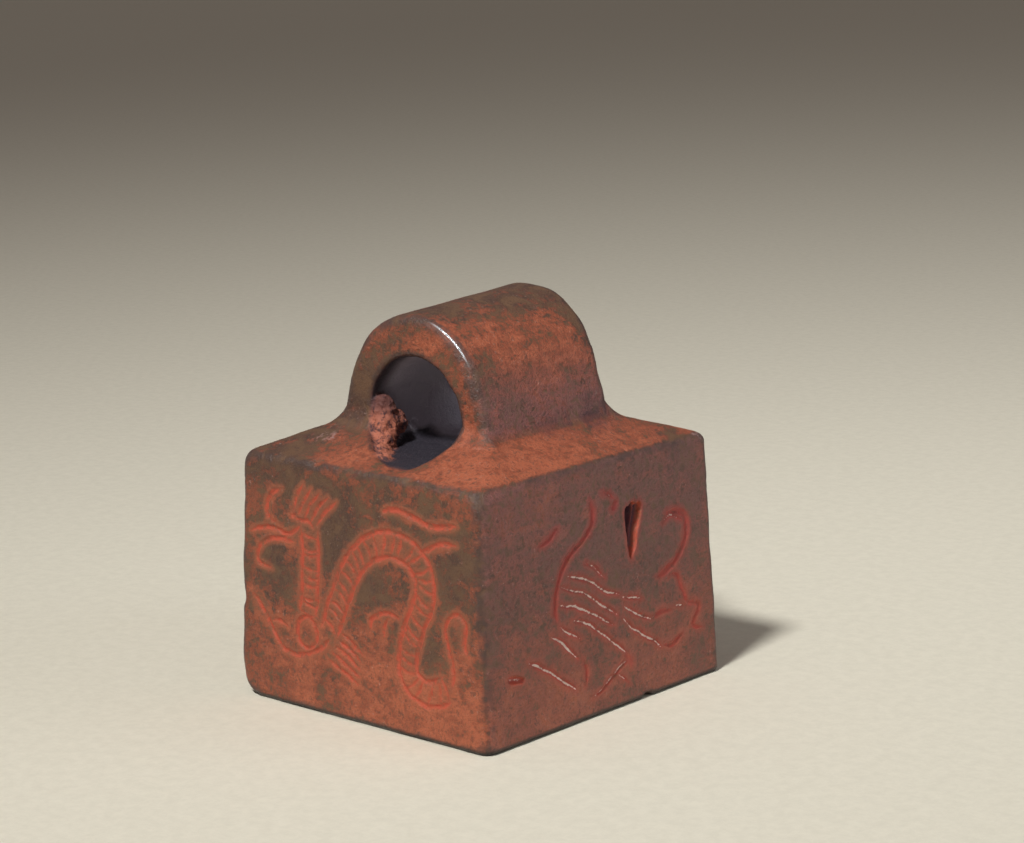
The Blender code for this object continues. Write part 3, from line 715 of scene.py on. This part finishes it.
skinWaves = {
    # height, and how many to a millimetre
    "long": (0.035, 0.45),
    "short": (0.016, 1.3),
    "dimple": (0.030, 2.1),
    "hole": (0.06, 1.6),
    "inward": 0.030,        # keeps the skin within the solid's own box
    "flatFoot": 0.25,
}


def roughen(points, normals):        # low waves all over, and crumbs on the crust
    longHigh, longRate = skinWaves["long"]
    shortHigh, shortRate = skinWaves["short"]
    dimpleDeep, dimpleRate = skinWaves["dimple"]
    holeHigh, holeRate = skinWaves["hole"]
    crusty = ease(-crustDistance(points), -0.25, 0.05)
    inside = ease(-holeDistance(points), -0.08, -0.01)
    offset = np.zeros(len(points))
    for index, point in enumerate(points.tolist()):
        here = Vector(point)
        wave = longHigh * noise.noise(here * longRate)
        wave += shortHigh * noise.noise(here * shortRate + Vector((9, 2, 5)))
        dimple = noise.noise(here * dimpleRate + Vector((3, 7, 1)))
        wave -= dimpleDeep * max(0.0, dimple - 0.35) / 0.3
        if inside[index] > 0.01:
            wave += holeHigh * inside[index] * noise.noise(here * holeRate)
        if crusty[index] > 0.01:
            crumb = noise.fractal(here * 1.9, 0.7, 2.1, 4) + 0.6 * abs(noise.noise(here * 4.2))
            wave += crustShape["crumble"] * crusty[index] * crumb
        offset[index] = wave
    offset = np.where(points[:, 2] < skinWaves["flatFoot"], np.minimum(offset, 0.0), offset)
    offset -= skinWaves["inward"]
    return points + normals * offset[:, None], crusty, inside


def vertexNormals(mesh):
    normals = np.empty(len(mesh.vertices) * 3, np.float32)
    mesh.vertex_normals.foreach_get("vector", normals)
    return normals.reshape(-1, 3).astype(float)


def curvature(mesh, points, normals, passes):      # above zero on edges, below zero in hollows
    ends = np.empty(len(mesh.edges) * 2, np.int32)
    mesh.edges.foreach_get("vertices", ends)
    first, second = ends.reshape(-1, 2).T
    reach = points[second] - points[first]
    length = (reach ** 2).sum(axis=1)
    bend = np.zeros(len(points))
    total = np.zeros(len(points))
    count = np.zeros(len(points))
    np.add.at(bend, first, -(reach * normals[first]).sum(axis=1))
    np.add.at(bend, second, (reach * normals[second]).sum(axis=1))
    np.add.at(total, first, length)
    np.add.at(total, second, length)
    np.add.at(count, first, 1)
    np.add.at(count, second, 1)
    bend = 2.0 * bend / total
    for _ in range(passes):
        around = np.zeros(len(points))
        np.add.at(around, first, bend[second])
        np.add.at(around, second, bend[first])
        bend = 0.4 * bend + 0.6 * around / count
    return bend


def storeMask(mesh, name, values):
    layer = mesh.attributes.new(name, "FLOAT", "POINT")
    layer.data.foreach_set("value", values.astype(np.float32))


patinaMap = {
    # place, reach and strength of the redder (above zero) and browner patches
    "red": (
        ((3.6, -1.0, 21.6), 3.6, 0.40),
        ((4.6, 3.0, 21.0), 2.6, 0.25),
        ((0.4, -3.4, 23.5), 2.2, -0.55),
        ((0.6, 1.0, 23.9), 2.4, -0.60),
        ((0.8, 5.0, 24.2), 2.6, -0.70),
        ((4.0, 5.5, 22.4), 1.5, -0.40),
        ((1.6, -5.6, 22.4), 1.7, 0.45),
        ((-2.6, -5.6, 21.9), 1.4, 0.20),
        ((4.6, -5.6, 17.2), 1.3, 0.35),
        ((4.9, -5.6, 18.4), 1.7, -0.30),
        ((-4.2, -5.6, 18.0), 2.4, -0.40),
        ((-7.5, -7.8, 15.6), 3.4, -0.75),
        ((-5.0, -9.5, 15.6), 1.8, -0.30),
        ((6.5, -9.0, 15.6), 4.2, 0.40),
        ((-1.0, -8.5, 16.0), 3.0, 0.30),
        ((8.4, 7.5, 15.6), 2.8, -0.08),
        ((8.0, -2.0, 15.6), 4.0, 0.28),
        ((-2.2, -10.4, 11.8), 2.4, -0.50),
        ((-6.6, -10.4, 8.2), 1.6, -0.45),
        ((1.9, -10.4, 8.0), 1.7, -0.45),
        ((6.6, -10.4, 12.6), 3.0, -0.45),
        ((1.0, -10.4, 13.8), 3.0, -0.25),
        ((7.6, -10.4, 9.4), 2.2, -0.20),
        ((5.6, -10.4, 5.2), 1.2, -0.40),
        ((6.0, -10.6, 1.5), 4.0, 0.30),
        ((-5.0, -10.6, 1.8), 4.0, 0.15),
        ((-9.0, -10.4, 11.0), 2.0, 0.20),
        ((10.0, -5.0, 2.0), 4.0, 0.20),
        ((10.0, 6.0, 2.5), 4.0, 0.25),
        ((9.8, 2.0, 12.6), 5.0, -0.22),
    ),
    "base": {"front": 0.53, "right": 0.50, "hidden": 0.50, "slope": 0.80, "knob": 0.46},
    "lowGain": 0.15,        # redder towards the foot
    "cornerLoss": 0.30,     # browner along the upright edges
    "rightSheenRange": (0.55, 0.40),
    # darker patches in the crease at the knob's foot
    "creaseDarkening": (
        ((6.2, 3.4, 16.7), 1.1, 0.80),
        ((6.2, 1.6, 16.6), 0.9, 0.55),
        ((6.3, -0.4, 16.5), 1.0, 0.50),
        ((6.1, 5.2, 16.7), 0.8, 0.60),
        ((9.4, 7.4, 15.1), 1.2, 0.35),
    ),
    # pale dusty flecks
    "dustAndGlint": (
        ((5.9, 4.6, 18.0), 1.2, 0.38),
        ((5.6, 1.8, 18.6), 1.1, 0.35),
        ((5.9, -6.1, 16.0), 0.7, 0.70),
        ((-5.2, -7.4, 15.9), 1.3, 0.60),
        ((3.4, -2.8, 22.3), 1.0, 0.25),
        ((10.0, 3.2, 13.6), 1.6, 0.20),
        ((10.1, -5.2, 10.6), 1.8, 0.20),
    ),
    # painted highlights: small glints along the edges and corners
    "edgeGlints": (
        ((9.7, -10.2, 14.8), 0.7, 1.00),
        ((9.6, 8.8, 14.95), 1.6, 1.00),
        ((-6.0, -10.3, 15.0), 1.6, 0.80),
        ((-1.2, -10.3, 15.0), 1.2, 0.70),
        ((5.8, -10.3, 15.0), 2.0, 1.00),
    ),
}


def patchMask(points, patches):
    total = np.zeros(len(points))
    for place, reach, strength in patches:
        distance = np.linalg.norm(points - np.array(place), axis=1)
        total += strength * np.exp(-(distance / reach) ** 2)
    return total


def regionMasks(points, normals):    # where the patina turns red or olive, and where the right-facing sides get a painted cool sheen
    base = patinaMap["base"]
    z = points[:, 2]
    height = z / blockShape["height"]
    front = ease(-normals[:, 1], 0.6, 0.9)
    right = ease(normals[:, 0], 0.6, 0.9)
    hidden = np.maximum(ease(normals[:, 1], 0.6, 0.9), ease(-normals[:, 0], 0.6, 0.9))
    onBlock = 1.0 - ease(z, 15.2, 15.8)
    slope = ease(z, 14.6, 15.1) * ease(normals[:, 2], 0.6, 0.85) * (1.0 - ease(z, 16.6, 17.2))
    knob = ease(z, 16.4, 17.0) * (1.0 - slope)
    low = 1.0 - ease(height, 0.0, 0.55)
    red = onBlock * (front * base["front"] + right * base["right"] + hidden * base["hidden"])
    red += patinaMap["lowGain"] * onBlock * low + slope * base["slope"] + knob * base["knob"]
    red += patchMask(points, patinaMap["red"])
    corner = np.clip(1.0 - front - right - hidden, 0, 1)
    red -= patinaMap["cornerLoss"] * onBlock * corner * (1.0 - slope)
    least, more = patinaMap["rightSheenRange"]
    rightSheen = onBlock * right * (least + more * ease(height, 0.2, 0.9))
    sideLow = knob * ease(normals[:, 0], 0.45, 0.85) * (1.0 - ease(z, 17.8, 21.5))
    return np.clip(red, 0, 1.3), np.clip(rightSheen + sideLow, 0, 1)


# the painted highlight line along the knob's front rim
glintLine = {
    "towardArch": 0.15,     # how far it lies off the middle of the rounded rim
    "core": 0.02,
    "edge": 0.12,
    # angles round the knob between which it comes in and goes out
    "comesIn": (0.50, 0.85),
    "goesOut": (1.02, 1.34),
}


def rimGlossAndGlintMask(points):               # the stretch of the front rim that handling made glossier, with a painted highlight line along it
    up = points[:, 2] - blockShape["height"] - knobShape["crownCentre"]
    turn = np.arctan2(up, points[:, 0] - knobShape["shift"])
    nearRim = ease(-np.abs(points[:, 1] + knobShape["front"] - 0.3), -1.4, -1.0)
    return nearRim * ease(turn, *glintLine["comesIn"]) * (1.0 - ease(turn, *glintLine["goesOut"]))


def crustMasks(points, normals):     # the crust's dark top, and where the hole's lit front is painted dark as shade
    z = points[:, 2]
    fromFront = -points[:, 1]
    crustTop = 0.85 * ease(z, 16.7, 17.9)
    floor = ease(normals[:, 2], 0.3, 0.7) * ease(fromFront, 0.0, 1.2)
    return crustTop, np.maximum(floor, ease(fromFront, 3.6, 5.2))


def makeSeal():
    bm = fineShell()
    masks = carve(bm)
    mesh = bpy.data.meshes.new("seal_body")
    bm.to_mesh(mesh)
    bm.free()
    count = len(mesh.vertices)
    flat = np.empty(count * 3, np.float32)
    mesh.vertices.foreach_get("co", flat)
    points = flat.reshape(-1, 3).astype(float)
    points, masks["crust"], masks["inside"] = roughen(points, vertexNormals(mesh))
    mesh.vertices.foreach_set("co", points.astype(np.float32).ravel())
    mesh.update()
    normals = vertexNormals(mesh)
    bend = curvature(mesh, points, normals, 2)
    uncut = 1.0 - np.clip(2.5 * masks["halo"], 0, 1)
    masks["edge"] = ease(bend, 0.30, 0.85) * uncut
    masks["hollow"] = ease(-bend, 0.08, 0.55) * uncut
    masks["red"], masks["rightSheen"] = regionMasks(points, normals)
    masks["rimGlossAndGlint"] = rimGlossAndGlintMask(points)
    masks["crustTop"], masks["trench"] = crustMasks(points, normals)
    masks["inside"] *= 1.0 - 0.60 * ease(points[:, 1], 2.0, 4.6)      # less of the painted hole tone at the back mouth
    masks["creaseDarkening"] = np.clip(patchMask(points, patinaMap["creaseDarkening"]), 0, 1)
    # dust flecks, and small painted glints on the edges
    onEdge = patchMask(points, patinaMap["edgeGlints"]) * ease(bend, 0.45, 1.0)
    masks["dustAndGlint"] = np.clip(patchMask(points, patinaMap["dustAndGlint"]) + onEdge, 0, 1)
    for name, values in masks.items():
        storeMask(mesh, name, values)
    mesh.transform(Matrix.Scale(mm, 4))
    mesh.shade_smooth()
    seal = bpy.data.objects.new("seal_body", mesh)
    bpy.context.scene.collection.objects.link(seal)
    triangles = sum(len(face.vertices) - 2 for face in mesh.polygons)
    print("seal:", len(mesh.polygons), "faces,", triangles, "triangles")
    return seal


bronzeLook = {
    "olive": (0.158, 0.086, 0.050),
    "umber": (0.088, 0.048, 0.037),
    "earth": (0.305, 0.084, 0.045),
    "flame": (0.480, 0.138, 0.070),
    "rightSheen": (0.250, 0.114, 0.116),
    "pigment": (0.560, 0.092, 0.052),
    "crimson": (0.400, 0.062, 0.058),
    "grooveGlintTone": (0.860, 0.700, 0.640),
    "worn": (0.085, 0.054, 0.048),
    "rimGlossAndGlint": (0.660, 0.720, 0.780),
    "paintedHoleLight": (0.520, 0.485, 0.570),
    "deepCutShade": (0.040, 0.022, 0.045),
    "fleck": (0.560, 0.370, 0.310),
    "dustAndGlintTone": (0.520, 0.330, 0.310),
    "trench": (0.040, 0.036, 0.048),
    "creaseDarkening": (0.055, 0.036, 0.050),
    # painted contact shade along the foot
    "foot": (0.030, 0.024, 0.020),
    "crustColour": (0.540, 0.180, 0.110),
    "crustDark": (0.110, 0.046, 0.046),
}
bronzeGrains = {
    # size in millimetres, detail, roughness, distortion, stretch
    "broad": (4.2, 5.0, 0.62, 0.5),
    "cloud": (1.5, 6.0, 0.68, 0.7),
    "streak": (0.9, 4.0, 0.65, 0.4, (1.0, 0.35, 2.2)),
    "speck": (0.42, 5.0, 0.72, 0.3),
    "grit": (0.19, 4.0, 0.66, 0.2),
    "fine": (0.13, 3.0, 0.60),
}
bronzeSurface = {
    "roughness": 0.50,
    "uneven": 0.6,
    "edgesSmoother": 0.12,
    "glintSmoother": 0.22,
    "crustRougher": 0.3,
    "glintMetal": 0.7,
    "specular": 0.36,
    "pitSize": 0.45,
    "bumpStrength": 0.75,
    "bumpDistance": 0.09,
}


class Net:                           # short calls for the nodes of one material
    def __init__(self, name):
        self.material = bpy.data.materials.new(name)
        self.material.use_nodes = True
        self.tree = self.material.node_tree
        self.shader = self.tree.nodes["Principled BSDF"]
        self.place = self.add("ShaderNodeTexCoord").outputs["Object"]

    def add(self, kind, **settings):
        made = self.tree.nodes.new(kind)
        for name, value in settings.items():
            setattr(made, name, value)
        return made

    def put(self, socket, value):
        if isinstance(value, bpy.types.NodeSocket):
            self.tree.links.new(value, socket)
        elif isinstance(value, tuple) and len(value) == 3 and socket.type == "RGBA":
            socket.default_value = (*value, 1.0)
        else:
            socket.default_value = value

    def math(self, operation, a, b=0.0, clamp=False):
        made = self.add("ShaderNodeMath", operation=operation, use_clamp=clamp)
        self.put(made.inputs[0], a)
        self.put(made.inputs[1], b)
        return made.outputs[0]

    def times(self, a, b):
        return self.math("MULTIPLY", a, b)

    def minus(self, a, b):
        return self.math("SUBTRACT", a, b)

    def stir(self, value, grain, amount):      # makes a value uneven with a grain
        return self.math("ADD", value, self.times(self.minus(grain, 0.5), amount))

    def coat(self, colour, over, share, strength):
        return self.mix(self.times(share, strength), colour, over)

    def step(self, value, low, high):          # smooth step from low to high
        made = self.add("ShaderNodeMapRange", interpolation_type="SMOOTHSTEP")
        self.put(made.inputs["Value"], value)
        self.put(made.inputs["From Min"], low)
        self.put(made.inputs["From Max"], high)
        return made.outputs["Result"]

    def mix(self, share, a, b):
        made = self.add("ShaderNodeMix", data_type="RGBA", clamp_factor=True)
        self.put(made.inputs[0], share)
        self.put(made.inputs[6], a)
        self.put(made.inputs[7], b)
        return made.outputs[2]

    def grain(self, size, detail=4.0, roughness=0.55, distortion=0.0, stretch=(1.0, 1.0, 1.0)):
        where = self.add("ShaderNodeMapping")
        self.put(where.inputs["Vector"], self.place)
        where.inputs["Scale"].default_value = stretch
        made = self.add("ShaderNodeTexNoise")
        self.put(made.inputs["Vector"], where.outputs[0])
        made.inputs["Scale"].default_value = 1.0 / (size * mm)
        made.inputs["Detail"].default_value = detail
        made.inputs["Roughness"].default_value = roughness
        made.inputs["Distortion"].default_value = distortion
        return made.outputs["Fac"]

    def mask(self, name):
        return self.add("ShaderNodeAttribute", attribute_name=name).outputs["Fac"]


def glintAndFootShade(net):               # the painted highlight line along the knob's front rim, and painted contact shade along the seal's foot
    k = knobShape
    parts = net.add("ShaderNodeSeparateXYZ")
    net.put(parts.inputs[0], net.place)
    x = net.minus(parts.outputs[0], k["shift"] * mm)
    z = net.minus(parts.outputs[2], (blockShape["height"] + k["crownCentre"]) * mm)
    radius = net.math("SQRT", net.math("ADD", net.times(x, x), net.times(z, z)))
    middle = (k["crownRadius"] - k["front"] + glintLine["towardArch"]) * mm
    off = net.math("ABSOLUTE", net.minus(net.math("ADD", radius, parts.outputs[1]), middle))
    line = net.minus(1.0, net.step(off, glintLine["core"] * mm, glintLine["edge"] * mm))
    # painted contact shade along the lowest part of the seal
    foot = net.minus(1.0, net.step(parts.outputs[2], 0.14 * mm, 0.40 * mm))
    return line, foot


def bronzeMaterial():
    look = bronzeLook
    net = Net("patinatedBronze")
    glint, foot = glintAndFootShade(net)
    broad, cloud, streak, speck, grit, fine = [net.grain(*grain) for grain in bronzeGrains.values()]
    # brown metal, then the red earthy patina where it took
    metal = net.mix(net.step(cloud, 0.36, 0.64), look["olive"], look["umber"])
    redShare = net.mask("red")
    for grain, amount in ((broad, 1.4), (cloud, 1.6), (speck, 2.6), (streak, 1.0)):
        redShare = net.stir(redShare, grain, amount)
    colour = net.mix(net.step(redShare, 0.26, 0.74), metal, look["earth"])
    colour = net.coat(colour, look["flame"], net.step(redShare, 0.66, 1.10), 0.90)
    # painted cool sheen on the right-facing sides
    rightSheenShare = net.times(net.mask("rightSheen"), net.step(speck, 0.30, 0.62))
    colour = net.coat(colour, look["rightSheen"], rightSheenShare, 0.85)
    # dark and brown speckles, pale flecks, darker patches in the crease, and earthy red in the hollows
    colour = net.coat(colour, look["umber"], net.step(speck, 0.54, 0.64), 0.62)
    colour = net.coat(colour, look["olive"], net.step(fine, 0.54, 0.66), 0.50)
    flecks = net.times(net.step(grit, 0.60, 0.72), net.step(cloud, 0.42, 0.60))
    colour = net.coat(colour, look["fleck"], flecks, 0.50)
    colour = net.coat(colour, look["creaseDarkening"], net.mask("creaseDarkening"), net.step(cloud, 0.36, 0.60))
    colour = net.coat(colour, look["earth"], net.mask("hollow"), 0.35)
    # edges worn brown, and a painted highlight line on the rubbed stretch of the knob's front rim
    bare = net.times(net.mask("edge"), net.step(cloud, 0.28, 0.56))
    colour = net.coat(colour, look["worn"], bare, 0.85)
    rimGlossAndGlint = net.times(net.times(net.mask("rimGlossAndGlint"), glint), net.step(speck, 0.30, 0.46))
    colour = net.mix(rimGlossAndGlint, colour, look["rimGlossAndGlint"])
    # pigment in the cut lines, bled a little into the metal beside them
    bled = net.stir(net.stir(net.mask("halo"), speck, 1.1), cloud, 0.9)
    bledColour = net.mix(net.mask("rightSheen"), look["flame"], look["crimson"])
    colour = net.coat(colour, bledColour, net.step(bled, 0.20, 1.05), 0.50)
    filled = net.times(net.mask("pigment"), net.step(speck, 0.32, 0.58))
    lineColour = net.mix(net.mask("rightSheen"), look["pigment"], look["crimson"])
    colour = net.coat(colour, lineColour, filled, 0.85)
    # painted highlight dashes along the tiger's cuts
    grooveGlintDashes = net.step(net.stir(net.mask("grooveGlint"), speck, 1.6), 0.38, 0.62)
    colour = net.coat(colour, look["grooveGlintTone"], grooveGlintDashes, net.mask("pigment"))
    # painted shade in the deepest cuts
    colour = net.coat(colour, look["deepCutShade"], net.mask("deep"), 0.9)
    # dust in patches with small painted glints on the edges, and painted contact shade along the foot
    dustAndGlintShare = net.step(net.stir(net.mask("dustAndGlint"), speck, 1.8), 0.45, 1.00)
    dustAndGlintShare = net.times(dustAndGlintShare, net.step(net.mask("dustAndGlint"), 0.02, 0.25))
    colour = net.coat(colour, look["dustAndGlintTone"], dustAndGlintShare, 0.85)
    colour = net.coat(colour, look["foot"], foot, 0.90)
    # the cord hole painted dark as shade at its lit front and lighter where it lies in shadow, and the crust
    # in its mouth
    paintedHoleTone = net.mix(net.mask("trench"), look["paintedHoleLight"], look["trench"])
    colour = net.mix(net.mask("inside"), colour, paintedHoleTone)
    stained = net.math("MAXIMUM", net.step(speck, 0.44, 0.60), net.mask("crustTop"))
    crustTone = net.mix(stained, look["crustColour"], look["crustDark"])
    colour = net.mix(net.mask("crust"), colour, crustTone)
    net.put(net.shader.inputs["Base Color"], colour)
    finishSurface(net, rimGlossAndGlint, bare, (cloud, speck, fine))
    return net.material


def finishSurface(net, rimGlossAndGlint, bare, grains):       # gloss, and a pitted, leathery bump
    s = bronzeSurface
    cloud, speck, fine = grains
    net.put(net.shader.inputs["Metallic"], net.times(rimGlossAndGlint, s["glintMetal"]))
    rough = net.stir(s["roughness"], speck, s["uneven"])
    rough = net.minus(rough, net.times(bare, s["edgesSmoother"]))
    rough = net.minus(rough, net.times(rimGlossAndGlint, s["glintSmoother"]))
    rough = net.math("ADD", rough, net.times(net.mask("crust"), s["crustRougher"]), True)
    net.put(net.shader.inputs["Roughness"], rough)
    net.shader.inputs["Specular IOR Level"].default_value = s["specular"]
    pits = net.add("ShaderNodeTexVoronoi", feature="F1")
    net.put(pits.inputs["Vector"], net.place)
    pits.inputs["Scale"].default_value = 1.0 / (s["pitSize"] * mm)
    pitHeight = net.times(net.step(pits.outputs["Distance"], 0.10, 0.32), net.step(cloud, 0.40, 0.62))
    height = net.math("ADD", speck, net.times(fine, 0.7))
    height = net.math("ADD", height, net.times(pitHeight, 0.4))
    bump = net.add("ShaderNodeBump")
    bump.inputs["Strength"].default_value = s["bumpStrength"]
    bump.inputs["Distance"].default_value = s["bumpDistance"] * mm
    net.put(bump.inputs["Height"], height)
    net.put(net.shader.inputs["Normal"], bump.outputs[0])


seal = makeSeal()
seal.data.materials.append(bronzeMaterial())
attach(seal, "root")
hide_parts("seal")
print("seal finished")

floorLook = {
    "size": 6.0,            # metres
    "colour": (0.860, 0.825, 0.700),
    "grain": (0.790, 0.757, 0.638),
    "grainSize": 0.9,
    "roughness": 0.85,
    "specular": 0.2,
}


def makeFloor():
    bm = bmesh.new()
    bmesh.ops.create_grid(bm, x_segments=1, y_segments=1, size=floorLook["size"] / 2)
    mesh = bpy.data.meshes.new("floor")
    bm.to_mesh(mesh)
    bm.free()
    floor = bpy.data.objects.new("floor", mesh)
    bpy.context.scene.collection.objects.link(floor)
    net = Net("paleFloor")
    mottled = net.step(net.grain(floorLook["grainSize"], 6.0, 0.8), 0.3, 0.7)
    net.put(net.shader.inputs["Base Color"], net.mix(mottled, floorLook["colour"], floorLook["grain"]))
    net.shader.inputs["Roughness"].default_value = floorLook["roughness"]
    net.shader.inputs["Specular IOR Level"].default_value = floorLook["specular"]
    floor.data.materials.append(net.material)
    return floor


makeFloor()

roomLight = (0.150, 0.132, 0.124)
lights = {
    # place, aim, size, power, colour, spread
    "key": ((0.040, -0.212, 0.310), (-0.001, 0.071, 0.0), 0.055, 0.219, (1.0, 0.985, 0.955), 77),
    "fill": ((-0.200, -0.100, 0.300), (0.0, 0.0, 0.010), 0.300, 0.03, (1.0, 0.98, 0.95), 180),
    "side": ((0.340, 0.180, 0.170), (0.0, 0.0, 0.010), 0.240, 0.24, (0.88, 0.94, 1.0), 180),
}


def makeLights():
    for name, (place, aim, size, power, colour, spread) in lights.items():
        lamp = bpy.data.lights.new(name, "AREA")
        lamp.shape = "DISK"
        lamp.size = size
        lamp.energy = power
        lamp.color = colour
        lamp.spread = math.radians(spread)
        held = bpy.data.objects.new(name, lamp)
        held.location = place
        held.rotation_euler = (Vector(aim) - Vector(place)).to_track_quat("-Z", "Y").to_euler()
        bpy.context.scene.collection.objects.link(held)
    world = bpy.data.worlds.new("room")
    world.use_nodes = True
    world.node_tree.nodes["Background"].inputs["Color"].default_value = (*roomLight, 1.0)
    bpy.context.scene.world = world
    bpy.context.scene.view_settings.view_transform = "Standard"


makeLights()

cameraView = {
    # angles in radians, place in millimetres
    "azimuth": 5.442646,
    "elevation": 0.2011976,
    "roll": -0.0213283,
    "place": (103.893, -112.700, 47.436),
    "lens": 91.406,
    "sensor": 36.0,
}


def makeCamera():
    c = cameraView
    level = math.cos(c["elevation"])
    back = Vector((math.cos(c["azimuth"]) * level, math.sin(c["azimuth"]) * level, math.sin(c["elevation"])))
    right = (-back).cross(Vector((0, 0, 1))).normalized()
    up = right.cross(-back)
    turnedRight = right * math.cos(c["roll"]) + up * math.sin(c["roll"])
    turnedUp = up * math.cos(c["roll"]) - right * math.sin(c["roll"])
    lens = bpy.data.cameras.new("camera")
    lens.lens = c["lens"]
    lens.sensor_width = c["sensor"]
    lens.sensor_fit = "HORIZONTAL"
    lens.clip_start = 0.005
    camera = bpy.data.objects.new("camera", lens)
    turn = Matrix((turnedRight, turnedUp, back)).transposed().to_4x4()
    camera.matrix_world = Matrix.Translation(Vector(c["place"]) * mm) @ turn
    bpy.context.scene.collection.objects.link(camera)
    bpy.context.scene.camera = camera


makeCamera()
print("lights and camera placed")
